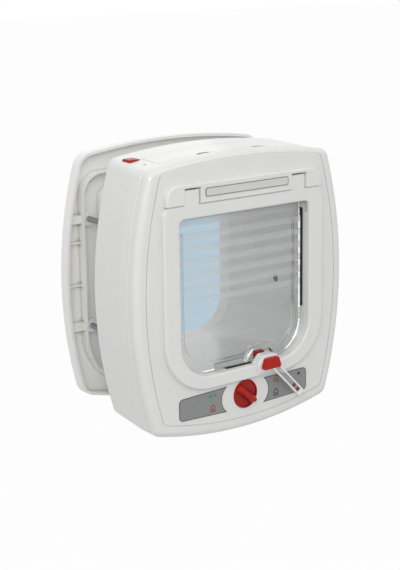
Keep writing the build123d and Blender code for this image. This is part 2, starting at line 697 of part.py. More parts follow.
# Clear flap: pane, barrel on the rod, bead round the free edges and an arched notch that clears the hump
MAGNET_X = (MAGNET_X0 + MAGNET_X1) / 2
MAGNET_Z = FLAP_LOW + MAGNET_H / 2
BEAD_TOP = HINGE_Z - BEAD_DROP
with BuildPart() as flap_panel:
    with BuildSketch(facing(HINGE_Y + PANE_T / 2)):
        add(flap_face())
    extrude(amount=PANE_T)
    with BuildSketch(facing(HINGE_Y + BEAD_T / 2)):
        add(window_face(FLAP_W, BEAD_TOP, FLAP_LOW, FLAP_TOP_R, FLAP_LOW_R))
        add(window_face(FLAP_W - BEAD_W, HINGE_Z, FLAP_LOW + BEAD_W, FLAP_TOP_R, FLAP_LOW_R - BEAD_W / 2),
            mode=Mode.SUBTRACT)
        add(hump_face(NOTCH_RIM, FLAP_LOW))
        add(flap_face(), mode=Mode.INTERSECT)
    extrude(amount=BEAD_T)
    with BuildSketch(facing(HINGE_Y + BEAD_T / 2)):
        add(hump_face(NOTCH_GAP, FLAP_LOW - NOTCH_RIM))
    extrude(amount=BEAD_T, mode=Mode.SUBTRACT)
    with Locations(across(0, HINGE_Y, HINGE_Z)):
        Cylinder(BARREL_R, 2 * FLAP_W)
    with Locations(across(0, HINGE_Y, HINGE_Z)):
        Cylinder(ROD_R + RUNNING, 2 * FLAP_W, mode=Mode.SUBTRACT)
    with Locations((MAGNET_X, HINGE_Y, MAGNET_Z)):
        Box(MAGNET_X1 - MAGNET_X0, MAGNET_T, MAGNET_H, mode=Mode.SUBTRACT)
flap_panel.part.label = "flap_panel"

with BuildPart() as flap_magnet:
    with Locations((MAGNET_X, HINGE_Y, MAGNET_Z)):
        Box(MAGNET_X1 - MAGNET_X0 - 2 * TOUCH, MAGNET_T - 2 * TOUCH, MAGNET_H)
flap_magnet.part.label = "flap_magnet"

with BuildPart() as hinge_rod:
    with Locations(across(0, HINGE_Y, HINGE_Z)):
        Cylinder(ROD_R, 2 * (TUNNEL_W + WALL))
hinge_rod.part.label = "hinge_rod"

with BuildPart() as frame_magnet:
    with Locations((FRAME_MAGNET_X, HINGE_Y, TUNNEL_LOW - WALL - FRAME_MAGNET_H / 2)):
        Box(FRAME_MAGNET_W, FRAME_MAGNET_D, FRAME_MAGNET_H)
frame_magnet.part.label = "frame_magnet"


def wall_strip(side):
    """Draught strip on the tunnel wall on side -1 or 1."""
    top = HINGE_Z - STRIP_DROP
    low = TUNNEL_LOW + STRIP_LIFT
    with BuildPart() as strip:
        with Locations((side * (TUNNEL_W - STRIP_T / 2), HINGE_Y, (top + low) / 2)):
            Box(STRIP_T, STRIP_D, top - low)
    return strip.part


draught_strip_left = wall_strip(-1)
draught_strip_left.label = "draught_strip_left"
draught_strip_right = wall_strip(1)
draught_strip_right.label = "draught_strip_right"


def sensor_plug(side):
    """Dark window of the flap sensor, set into the tunnel wall from behind, on side -1 or 1."""
    with BuildPart() as plug:
        with Locations(across(side * (TUNNEL_W + WALL / 2), SENSOR_Y, SENSOR_Z)):
            Cylinder(SENSOR_R, WALL)
        with Locations(across(side * (TUNNEL_W + WALL + SENSOR_FLANGE / 2), SENSOR_Y, SENSOR_Z)):
            Cylinder(SENSOR_R + SENSOR_FLANGE, SENSOR_FLANGE)
    return plug.part


sensor_window_left = sensor_plug(-1)
sensor_window_left.label = "sensor_window_left"
sensor_window_right = sensor_plug(1)
sensor_window_right.label = "sensor_window_right"

with BuildPart() as antenna_coil:
    with BuildSketch(facing(COIL_Y)):
        add(tunnel_face(WALL + COIL_T))
        add(tunnel_face(WALL + TOUCH), mode=Mode.SUBTRACT)
    extrude(amount=COIL_D)
antenna_coil.part.label = "antenna_coil"

# Lock knob: dished disc in the recess with a tapered grip, its shaft turns in the panel
KNOB_BACK = PANEL_Y + DIAL_DEPTH - SLIDING
KNOB_FACE = PANEL_Y - KNOB_RISE
with BuildPart() as knob:
    with BuildSketch(facing(KNOB_BACK)):
        with Locations((0, KNOB_Z)):
            Circle(KNOB_R)
    extrude(amount=KNOB_BACK - KNOB_FACE)
    with BuildSketch(facing(KNOB_FACE + DISH)):
        with Locations((0, KNOB_Z)):
            Circle(KNOB_R - KNOB_LIP)
    extrude(amount=DISH, mode=Mode.SUBTRACT)
    with BuildSketch(facing(KNOB_FACE + DISH)):
        with Locations(Location((0, KNOB_Z), GRIP_ANGLE)):
            with Locations(((GRIP_TIP - GRIP_TAIL) / 2, 0)):
                RectangleRounded(GRIP_TIP + GRIP_TAIL, GRIP_W, GRIP_ROUND)
    extrude(amount=GRIP_RISE, taper=GRIP_TAPER)
    with BuildSketch(facing(SHAFT_END)):
        with Locations((0, KNOB_Z)):
            Circle(SHAFT_R)
    extrude(amount=SHAFT_END - KNOB_BACK)
    with BuildSketch(facing(SHAFT_END)):
        with Locations((0, KNOB_Z)):
            Circle(CAM_SCREW_R + TOUCH)
    extrude(amount=CAM_SCREW_LENGTH + SEAT, mode=Mode.SUBTRACT)
knob.part.label = "knob"

# Two lobed discs on one hub. A lobe that stands up beside the flap stops it on that side
CAM_LENGTH = CAM_BACK + 2 * CAM_T - CAM_FRONT
with BuildPart() as lock_cam:
    with BuildSketch(facing(CAM_BACK + CAM_T)):
        with Locations((0, KNOB_Z)):
            Circle(CAM_HUB_R)
    extrude(amount=CAM_LENGTH)
    with BuildSketch(facing(CAM_FRONT)):
        with Locations((0, KNOB_Z)):
            Circle(CAM_BASE_R)
            add(sector_face(CAM_R, 90 - OUT_ONLY - CAM_EASE, 90 - CLOSED + CAM_EASE))
    extrude(amount=CAM_T)
    with BuildSketch(facing(CAM_BACK + CAM_T)):
        with Locations((0, KNOB_Z)):
            Circle(CAM_BASE_R)
            add(sector_face(CAM_R, 90 - CLOSED - CAM_EASE, 90 - IN_ONLY + CAM_EASE))
    extrude(amount=CAM_T)
    with BuildSketch(facing(CAM_BACK + CAM_T)):
        with Locations((0, KNOB_Z)):
            Circle(SHAFT_R + TOUCH)
    extrude(amount=CAM_LENGTH, mode=Mode.SUBTRACT)
lock_cam.part.label = "lock_cam"

with BuildPart() as cam_screw:
    with BuildSketch(facing(CAM_BACK + CAM_T + CAM_SCREW_HEAD)):
        with Locations((0, KNOB_Z)):
            Circle(CAM_SCREW_HEAD_R)
    extrude(amount=CAM_SCREW_HEAD)
    with BuildSketch(facing(CAM_BACK + CAM_T)):
        with Locations((0, KNOB_Z)):
            Circle(CAM_SCREW_R)
    extrude(amount=CAM_SCREW_LENGTH)
cam_screw.part.label = "cam_screw"

# Passage indicator: red rocker through the hump and a clear pointer held in its cap
POINTER_BACK = HUMP_FRONT - POINTER_SET
with BuildPart() as indicator_rocker:
    with BuildSketch(facing(HUMP_FRONT - SLIDING)):
        with Locations((ROCKER_X, ROCKER_Z - CAP_DROP)):
            Trapezoid(CAP_W, CAP_H, CAP_SLOPE)
    extrude(amount=CAP_T)
    fillet(indicator_rocker.edges().filter_by(Axis.Y), CAP_ROUND)
    fillet(indicator_rocker.faces().sort_by(Axis.Y)[0].edges(), CAP_EDGE)
    with BuildSketch(facing(HINGE_Y + ROCKER_END)):
        with Locations((ROCKER_X, ROCKER_Z)):
            Circle(ROCKER_R)
    extrude(amount=HINGE_Y + ROCKER_END - HUMP_FRONT + SLIDING)
    with Locations((ROCKER_X, HINGE_Y + ROCKER_END, ROCKER_Z + HUMP_H)):
        Box(TAIL_W, TAIL_D, TAIL_H, align=(Align.CENTER, Align.MAX, Align.MAX))
    with BuildSketch(facing(POINTER_BACK)):
        with Locations(Location((ROCKER_X, ROCKER_Z), POINTER_ANGLE)):
            with Locations((POINTER_ROOT, 0)):
                Rectangle(POINTER_REACH, POINTER_W + 2 * TOUCH, align=(Align.MIN, Align.CENTER))
    extrude(amount=POINTER_T + TOUCH, mode=Mode.SUBTRACT)
indicator_rocker.part.label = "indicator_rocker"

with BuildPart() as indicator_pointer:
    with BuildSketch(facing(POINTER_BACK)):
        with Locations(Location((ROCKER_X, ROCKER_Z), POINTER_ANGLE)):
            with Locations((POINTER_ROOT + TOUCH, 0)):
                Rectangle(POINTER_REACH - POINTER_ROOT, POINTER_W, align=(Align.MIN, Align.CENTER))
    extrude(amount=POINTER_T)
    with BuildSketch(facing(POINTER_BACK - POINTER_T + POINTER_HOLLOW)):
        with Locations(Location((ROCKER_X, ROCKER_Z), POINTER_ANGLE)):
            with Locations((POINTER_REACH - POINTER_END, 0)):
                Rectangle(POINTER_REACH - POINTER_ROOT - 2 * POINTER_END, POINTER_W - 2 * POINTER_RAIL,
                          align=(Align.MAX, Align.CENTER))
    extrude(amount=POINTER_HOLLOW, mode=Mode.SUBTRACT)
indicator_pointer.part.label = "indicator_pointer"

# Latch bar with its foot and plunger, and the solenoid that lifts it
LATCH_FRONT = LATCH_Y - LATCH_T / 2
LATCH_FOOT_D = SOLENOID_Y + LATCH_FOOT_T - LATCH_FRONT
with BuildPart() as latch_bar:
    with Locations((LATCH_X, LATCH_Y, LATCH_FOOT)):
        Box(LATCH_W, LATCH_T, LATCH_H, align=(Align.CENTER, Align.CENTER, Align.MIN))
    with Locations((LATCH_X, LATCH_FRONT, LATCH_FOOT)):
        Box(LATCH_W, LATCH_FOOT_D, LATCH_FOOT_T, align=(Align.CENTER, Align.MIN, Align.MIN))
    with Locations((LATCH_X, SOLENOID_Y, LATCH_FOOT + PLUNGER_FIT)):
        Cylinder(PLUNGER_R, PLUNGER_H, align=(Align.CENTER, Align.CENTER, Align.MAX))
latch_bar.part.label = "latch_bar"

SOLENOID_TOP = SOLENOID_Z + SOLENOID_H / 2
with BuildPart() as solenoid:
    with Locations((LATCH_X, SOLENOID_Y, SOLENOID_Z)):
        Box(SOLENOID_W, SOLENOID_D, SOLENOID_H)
    with Locations((LATCH_X, SOLENOID_Y, SOLENOID_TOP)):
        Cylinder(PLUNGER_R + PLUNGER_FIT, PLUNGER_H, align=(Align.CENTER, Align.CENTER, Align.MAX),
                 mode=Mode.SUBTRACT)
solenoid.part.label = "solenoid"

# Pairing button with its switch on the board
BOARD_TOP = BOARD_Z + BOARD_T
SWITCH_TOP = BOARD_TOP + SWITCH_H
STEM_LOW = SWITCH_TOP + SWITCH_STROKE
BUTTON_LOW = BUTTON_TOP - BUTTON_H
with BuildPart() as learn_button:
    with Locations((BUTTON_X, BUTTON_Y, BUTTON_LOW + BUTTON_H / 2)):
        Box(BUTTON_W, BUTTON_D, BUTTON_H)
    fillet(learn_button.edges().filter_by(Axis.Z), BUTTON_R)
    chamfer(learn_button.faces().sort_by(Axis.Z)[-1].edges(), BUTTON_EDGE)
    with Locations((BUTTON_X, BUTTON_Y, (BUTTON_LOW + STEM_LOW) / 2)):
        Box(BUTTON_STEM, BUTTON_STEM, BUTTON_LOW - STEM_LOW)
learn_button.part.label = "learn_button"

with BuildPart() as switch_plunger:
    with Locations((BUTTON_X, BUTTON_Y, STEM_LOW - SWITCH_STEM / 2)):
        Cylinder(SWITCH_R, SWITCH_STEM)
switch_plunger.part.label = "switch_plunger"

with BuildPart() as switch_body:
    with Locations((BUTTON_X, BUTTON_Y, BOARD_TOP + SWITCH_H / 2)):
        Box(SWITCH_W, SWITCH_W, SWITCH_H)
    with Locations((BUTTON_X, BUTTON_Y, SWITCH_TOP - SWITCH_STEM / 2)):
        Cylinder(SWITCH_R + RUNNING, SWITCH_STEM, mode=Mode.SUBTRACT)
switch_body.part.label = "switch_body"

with BuildPart() as circuit_board:
    with Locations((-(BOARD_OUT + BOARD_IN) / 2, BOARD_Y, BOARD_Z + BOARD_T / 2)):
        Box(BOARD_OUT - BOARD_IN, BOARD_D, BOARD_T)
    with Locations((-BOARD_IN - CHIP_W, BOARD_Y - CHIP_W, BOARD_TOP + CHIP_T / 2)):
        Box(CHIP_W, CHIP_W, CHIP_T)
circuit_board.part.label = "circuit_board"

with BuildPart() as led_lens:
    add(body_solid(0, 0))
    with Locations((LED_X, LED_Y, TOP_CUT_Z)):
        Cylinder(LED_R, LED_H, mode=Mode.INTERSECT)
led_lens.part.label = "led_lens"

# Battery cover follows the bowed and sloping top of the housing
with BuildPart() as battery_cover:
    add(body_solid(0, 0))
    add(body_solid(WALL, -WALL), mode=Mode.SUBTRACT)
    with Locations((0, COVER_Y, TOP_CUT_Z)):
        Box(2 * (COVER_W - SEAT), COVER_D - 2 * SEAT, TOP_CUT, mode=Mode.INTERSECT)
battery_cover.part.label = "battery_cover"

CELL_Z0 = TRAY_LOW + TRAY_WALL + CELL_R + TOUCH
CELL_STEP = 2 * CELL_R + CELL_GAP
TRAY_TOP = CELL_Z0 + CELL_STEP + CELL_R + TRAY_EDGE
INNER_END = TRAY_W - TRAY_WALL
with BuildPart() as battery_tray:
    with Locations((0, TRAY_Y, (TRAY_TOP + TRAY_LOW) / 2)):
        Box(2 * TRAY_W, TRAY_D, TRAY_TOP - TRAY_LOW)
    with Locations((0, TRAY_Y, (TRAY_TOP + TRAY_LOW) / 2 + TRAY_WALL)):
        Box(2 * INNER_END, TRAY_D - 2 * TRAY_WALL, TRAY_TOP - TRAY_LOW, mode=Mode.SUBTRACT)
battery_tray.part.label = "battery_tray"


def cell(x, z):
    """Round cell lying along X with its raised contact, its jacket centred at x and z."""
    jacket = CELL_LENGTH - CELL_NUB
    with BuildPart() as body:
        with Locations(across(x, TRAY_Y, z)):
            Cylinder(CELL_R, jacket)
            with Locations((0, 0, (jacket + CELL_NUB) / 2)):
                Cylinder(CELL_NUB_R, CELL_NUB)
    return body.part


CELL_X0 = -INNER_END + CONTACT_T + CELL_GAP + (CELL_LENGTH - CELL_NUB) / 2
CELL_X1 = CELL_X0 + CELL_LENGTH + 2 * CELL_GAP
cell_low_left = cell(CELL_X0, CELL_Z0)
cell_low_left.label = "cell_low_left"
cell_low_right = cell(CELL_X1, CELL_Z0)
cell_low_right.label = "cell_low_right"
cell_top_left = cell(CELL_X0, CELL_Z0 + CELL_STEP)
cell_top_left.label = "cell_top_left"
cell_top_right = cell(CELL_X1, CELL_Z0 + CELL_STEP)
cell_top_right.label = "cell_top_right"

CONTACT_Z = CELL_Z0 + CELL_STEP / 2
with BuildPart() as contact_plate:
    with Locations((-INNER_END + CONTACT_T / 2, TRAY_Y, CONTACT_Z)):
        Box(CONTACT_T, CONTACT_D, CONTACT_H)
contact_plate.part.label = "contact_plate"

LEAF_TIP = CELL_X1 + (CELL_LENGTH + CELL_NUB) / 2 + CELL_GAP
LEAF_ROOT = INNER_END - CONTACT_T / 2
with BuildPart() as contact_spring:
    with Locations((INNER_END - CONTACT_T / 2, TRAY_Y, CONTACT_Z)):
        Box(CONTACT_T, CONTACT_D, CONTACT_H + CONTACT_EXTRA)
    for leaf_z in (CELL_Z0, CELL_Z0 + CELL_STEP):
        with BuildSketch(facing(TRAY_Y + LEAF_D / 2)):
            with BuildLine():
                Polyline((LEAF_ROOT, leaf_z + LEAF_FOOT), (LEAF_TIP, leaf_z + LEAF_TOE),
                         (LEAF_TIP, leaf_z - LEAF_TOE), (LEAF_ROOT, leaf_z - LEAF_FOOT),
                         (LEAF_ROOT, leaf_z - LEAF_FOOT + LEAF_T),
                         (LEAF_TIP + CONTACT_T, leaf_z - LEAF_TOE + LEAF_T / 2),
                         (LEAF_TIP + CONTACT_T, leaf_z + LEAF_TOE - LEAF_T / 2),
                         (LEAF_ROOT, leaf_z + LEAF_FOOT - LEAF_T), close=True)
            make_face()
        extrude(amount=LEAF_D)
contact_spring.part.label = "contact_spring"

# Screws that hold the bezel, and the long ones that clamp the door
with BuildPart() as housing_screws:
    with BuildSketch(facing(CASE_SEAT + CASE_HEAD)):
        with Locations(*CASE_POINTS):
            Circle(CASE_HEAD_R)
    extrude(amount=CASE_HEAD)
    with BuildSketch(facing(CASE_SEAT)):
        with Locations(*CASE_POINTS):
            Circle(CASE_R)
    extrude(amount=CASE_SEAT - SPLIT_Y + CASE_BITE)
housing_screws.part.label = "housing_screws"

with BuildPart() as clamp_screws:
    with BuildSketch(facing(WELL_SEAT)):
        with Locations(*CLAMP_POINTS):
            Circle(SCREW_HEAD_R)
    extrude(amount=SCREW_HEAD)
    with BuildSketch(facing(SCREW_END)):
        with Locations(*CLAMP_POINTS):
            Circle(SCREW_R)
    extrude(amount=SCREW_END - WELL_SEAT)
clamp_screws.part.label = "clamp_screws"

# Outer frame: shallow ribbed tray with a sleeve over the tunnel and a collar to the outside
with BuildPart() as outer_frame:
    with BuildSketch(facing(DOOR_T + OUTER_T)):
        add(outer_face(0))
    extrude(amount=OUTER_T)
    fillet(outer_frame.faces().sort_by(Axis.Y)[-1].edges(), OUTER_ROUND)
    with BuildSketch(facing(FLOOR_Y)):
        add(outer_face(WALL))
    extrude(amount=FLOOR_Y - DOOR_T, mode=Mode.SUBTRACT)
    # Ring wall with ribs and webs out to the rim, then the screw bosses
    with BuildSketch(facing(FLOOR_Y)):
        add(ring_face(0))
        add(ring_face(RING_T), mode=Mode.SUBTRACT)
    extrude(amount=FLOOR_Y - DOOR_T)
    for rise, thick, levels in ((WEB_RISE, WEB_T, SCREW_ZS), (RIB_RISE, RIB_T, RIB_ZS)):
        with BuildSketch(facing(FLOOR_Y)):
            with Locations(*mirrored([(GROOVE_W, z) for z in levels])):
                Rectangle(RIB_LENGTH, thick)
            add(outer_face(WALL / 2), mode=Mode.INTERSECT)
            add(ring_face(RING_T), mode=Mode.SUBTRACT)
        extrude(amount=rise)
    with BuildSketch(facing(FLOOR_Y)):
        with Locations(*CLAMP_POINTS):
            Circle(BOSS_R)
    extrude(amount=FLOOR_Y - DOOR_T - BOSS_SET)
    with BuildSketch(facing(COLLAR_END)):
        add(tunnel_face(WALL + SEAT + COLLAR_WALL))
    extrude(amount=COLLAR_REACH)
    with BuildSketch(facing(COLLAR_END)):
        add(tunnel_face(0))
    extrude(amount=COLLAR_REACH, mode=Mode.SUBTRACT)
    with BuildSketch(facing(SLEEVE_END + SEAT)):
        add(tunnel_face(WALL + SEAT))
    extrude(amount=SLEEVE_REACH + SEAT, mode=Mode.SUBTRACT)
    fillet(outer_frame.faces().sort_by(Axis.Y)[-1].edges(), COLLAR_ROUND)
    with BuildSketch(facing(SCREW_END)):
        with Locations(*CLAMP_POINTS):
            Circle(SCREW_R + TOUCH)
    extrude(amount=SCREW_END - DOOR_T, mode=Mode.SUBTRACT)
outer_frame.part.label = "outer_frame"

for built in (front_bezel, rear_housing, window_frame, nameplate, left_label, right_label, flap_panel,
              flap_magnet, hinge_rod, frame_magnet, antenna_coil, knob, lock_cam, cam_screw,
              indicator_rocker, indicator_pointer, latch_bar, solenoid, learn_button, switch_plunger,
              switch_body, circuit_board, led_lens, battery_cover, battery_tray, contact_plate,
              contact_spring, housing_screws, clamp_screws, outer_frame):
    export_step(built.part, f"parts/{built.part.label}.step")
for piece in (draught_strip_left, draught_strip_right, sensor_window_left, sensor_window_right,
              cell_low_left, cell_low_right, cell_top_left, cell_top_right):
    export_step(piece, f"parts/{piece.label}.step")
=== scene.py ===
"""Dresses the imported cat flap: moulded finishes, printed labels, banded clear flap, studio light and camera.

Everything is in metres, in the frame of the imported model: X to the right seen from the room, Y from the
room to the outside, Z up.
"""

import logging
import math
from collections.abc import Callable
from dataclasses import dataclass, field
from enum import Enum
from typing import Any, Protocol

import bpy
from bpy.types import Material, Node, NodeSocket, NodeTree, Object
from mathutils import Matrix, Vector


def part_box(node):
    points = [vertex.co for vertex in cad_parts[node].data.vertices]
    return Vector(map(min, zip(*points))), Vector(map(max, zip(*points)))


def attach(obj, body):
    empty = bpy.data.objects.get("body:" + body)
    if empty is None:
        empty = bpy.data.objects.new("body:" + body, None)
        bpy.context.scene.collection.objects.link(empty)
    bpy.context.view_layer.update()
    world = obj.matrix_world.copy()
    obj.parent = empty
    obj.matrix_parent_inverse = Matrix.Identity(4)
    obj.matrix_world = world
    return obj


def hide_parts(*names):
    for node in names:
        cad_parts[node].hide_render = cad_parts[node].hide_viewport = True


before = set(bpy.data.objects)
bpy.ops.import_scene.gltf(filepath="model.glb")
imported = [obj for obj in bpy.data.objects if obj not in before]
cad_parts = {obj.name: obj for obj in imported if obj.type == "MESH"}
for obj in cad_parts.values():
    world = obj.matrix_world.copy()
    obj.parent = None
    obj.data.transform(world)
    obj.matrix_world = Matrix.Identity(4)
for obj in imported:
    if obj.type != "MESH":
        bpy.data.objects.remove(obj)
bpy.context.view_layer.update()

LOG = logging.getLogger("cat_flap")
MM = 0.001
# Points that lie closer than this are one point
MERGE_M = 1e-6
# Share of a face's normal along an axis from which it counts as facing that way
FACING = 0.9
# Sockets of a Mix node that mixes colours
MIX_SHARE, MIX_A, MIX_B, MIX_OUT = 0, 6, 7, 2
# Steps of detail in a noise that stands for drifting clouds, patches of gloss or single grains
CLOUD_DETAIL, PATCH_DETAIL, GRAIN_DETAIL = 3.0, 2.0, 1.0
# How much of a bump's depth shows, for grain and for lines
GRAIN_STRENGTH, LINE_STRENGTH = 0.3, 0.7
# Rays that feel for a near wall in a seam, for the painted shade there
PAINTED_SHADE_RAYS = 8
# From the middle to a corner of a square one millimetre wide
SQUARE_RADIUS_MM = 1 / math.sqrt(2)


class Way(Enum):
    """Where a printed arrow points on the label, as a turn in degrees seen from the room."""

    RIGHT = 0.0
    LEFT = 180.0


class Shape(Enum):
    """Flat shapes that the prints are put together from."""

    ARROW = "arrow"
    BLOCK = "block"
    HOUSE = "house"


class Axis(Enum):
    """Direction along which lines repeat."""

    X = "X"
    Y = "Y"
    Z = "Z"


class Finish(Protocol):
    """Anything that can make one material."""

    name: str

    def build(self) -> Material:
        """Make the material."""


def linear(code: str) -> tuple[float, float, float, float]:
    """Turn an sRGB hex colour into linear light.

    Args:
        code: six hex digits with a leading hash.

    Returns:
        Linear red, green, blue and an alpha of one.
    """
    parts = [int(code[i:i + 2], 16) / 255 for i in (1, 3, 5)]
    # The curve of the sRGB standard
    red, green, blue = [v / 12.92 if v <= 0.04045 else ((v + 0.055) / 1.055) ** 2.4 for v in parts]
    return red, green, blue, 1.0


def add_node(tree: NodeTree, kind: str, values: dict[str | int, Any] | None = None,
             links: dict[str | int, NodeSocket] | None = None, **settings: Any) -> Node:
    """Add one node with its settings, socket values and links.

    Args:
        tree: node tree that gets the node.
        kind: Blender's name for the node type, after ShaderNode.
        values: constant values by input socket.
        links: output sockets of other nodes by input socket.
        settings: attributes of the node itself.

    Returns:
        The new node.
    """
    node = tree.nodes.new("ShaderNode" + kind)
    for name, value in settings.items():
        setattr(node, name, value)
    for socket, value in (values or {}).items():
        node.inputs[socket].default_value = value
    for socket, source in (links or {}).items():
        tree.links.new(source, node.inputs[socket])
    return node


def start_material(name: str, values: dict[str, Any]) -> tuple[Material, NodeTree, Node]:
    """Start a node material with one shader.

    Args:
        name: name of the real material.
        values: what is the same all over the surface, by socket of the shader.

    Returns:
        The material, its node tree and its shader node.
    """
    material = bpy.data.materials.new(name)
    material.use_nodes = True
    tree = material.node_tree
    shader = tree.nodes["Principled BSDF"]
    for socket, value in values.items():
        shader.inputs[socket].default_value = value
    return material, tree, shader


@dataclass(frozen=True)
class Lines:
    """Even lines across a surface, such as windings, ribs or turning marks."""

    axis: Axis
    pitch_mm: float
    depth_mm: float
    colour: str


@dataclass(frozen=True)
class Solid:
    """Opaque finish: slow colour drift, uneven gloss, fine grain, lines if any, and painted shade in the
    seams.

    A real moulding is never one flat colour: pigment drifts over some centimetres, and gloss varies with the
    polish of the tool. Each of these is one pattern here. Shade in grooves and joints is painted into the
    colour: its tint is full where the shut share of the sky is open to it, and gone at the open share.
    """

    name: str
    colour: str
    drift: str
    roughness: float
    drift_mm: float = 35.0
    spread: float = 0.05
    spread_mm: float = 9.0
    ior: float = 1.5
    metallic: float = 0.0
    coat: float = 0.0
    grain_mm: float = 0.9
    grain_depth_mm: float = 0.01
    specular: float = 0.5
    # Painted shade: grooves, joints and hollows darken towards a tint, the less of the sky they see
    painted_shade_mm: float = 0.0
    painted_shade_tint: str = "#3A3A3A"
    painted_shade_shut: float = 0.1
    painted_shade_open: float = 0.6
    painted_shade_local: bool = False
    lines: Lines | None = None

    def build(self) -> Material:
        """Make the material.

        Returns:
            The finished material.
        """
        material, tree, shader = start_material(self.name, {
            "Metallic": self.metallic, "IOR": self.ior, "Coat Weight": self.coat,
            "Specular IOR Level": self.specular})
        place = add_node(tree, "TexCoord").outputs["Object"]
        cloud = add_node(tree, "TexNoise", {"Scale": 1 / (self.drift_mm * MM), "Detail": CLOUD_DETAIL},
                         {"Vector": place})
        tint = add_node(tree, "Mix", {MIX_A: linear(self.colour), MIX_B: linear(self.drift)},
                        {MIX_SHARE: cloud.outputs["Fac"]}, data_type="RGBA")
        gloss = add_node(tree, "TexNoise", {"Scale": 1 / (self.spread_mm * MM), "Detail": PATCH_DETAIL},
                         {"Vector": place})
        rough = add_node(tree, "MapRange",
                         {"To Min": self.roughness - self.spread, "To Max": self.roughness + self.spread},
                         {"Value": gloss.outputs["Fac"]})
        grain = add_node(tree, "TexNoise", {"Scale": 1 / (self.grain_mm * MM), "Detail": GRAIN_DETAIL},
                         {"Vector": place})
        bump = add_node(tree, "Bump", {"Strength": GRAIN_STRENGTH, "Distance": self.grain_depth_mm * MM},
                        {"Height": grain.outputs["Fac"]})
        colour, normal = tint.outputs[MIX_OUT], bump.outputs["Normal"]
        if self.lines:
            colour, normal = self.add_lines(tree, place, colour, normal)
        if self.painted_shade_mm:
            colour = self.add_painted_shade(tree, colour)
        tree.links.new(colour, shader.inputs["Base Color"])
        tree.links.new(rough.outputs[0], shader.inputs["Roughness"])
        tree.links.new(normal, shader.inputs["Normal"])
        return material

    def add_lines(self, tree: NodeTree, place: NodeSocket, colour: NodeSocket,
                  normal: NodeSocket) -> tuple[NodeSocket, NodeSocket]:
        """Draw the even lines into colour and bump.

        Args:
            tree: node tree of the material.
            place: coordinates on the piece.
            colour: colour so far.
            normal: normal so far.

        Returns:
            The lined colour and normal.
        """
        axes = add_node(tree, "SeparateXYZ", links={"Vector": place})
        turns = add_node(tree, "Math", {1: 1 / (self.lines.pitch_mm * MM)},
                         {0: axes.outputs[self.lines.axis.value]}, operation="MULTIPLY")
        half = 0.5  # a line rises over half its pitch and falls over the other half
        ridge = add_node(tree, "Math", {1: half}, {0: turns.outputs[0]}, operation="PINGPONG")
        height = add_node(tree, "MapRange", {"From Max": half}, {"Value": ridge.outputs[0]})
        lined = add_node(tree, "Mix", {MIX_A: linear(self.lines.colour)},
                         {MIX_SHARE: height.outputs[0], MIX_B: colour}, data_type="RGBA")
        bump = add_node(tree, "Bump", {"Strength": LINE_STRENGTH, "Distance": self.lines.depth_mm * MM},
                        {"Height": height.outputs[0], "Normal": normal})
        return lined.outputs[MIX_OUT], bump.outputs["Normal"]

    def add_painted_shade(self, tree: NodeTree, colour: NodeSocket) -> NodeSocket:
        """Paint shade into grooves, joints and hollows, darker the less of the sky they see.

        Args:
            tree: node tree of the material.
            colour: colour so far.

        Returns:
            The colour with painted shade in its seams.
        """
        # Painted shade: ambient occlusion darkens the colour where walls stand near
        occlusion = add_node(tree, "AmbientOcclusion", {"Distance": self.painted_shade_mm * MM}, samples=PAINTED_SHADE_RAYS,
                        only_local=self.painted_shade_local)
        open_part = add_node(tree, "MapRange", {"From Min": self.painted_shade_shut, "From Max": self.painted_shade_open},
                             {"Value": occlusion.outputs["AO"]})
        shaded_colour = add_node(tree, "Mix", {MIX_A: linear(self.painted_shade_tint)},
                         {MIX_SHARE: open_part.outputs[0], MIX_B: colour}, data_type="RGBA")
        return shaded_colour.outputs[MIX_OUT]


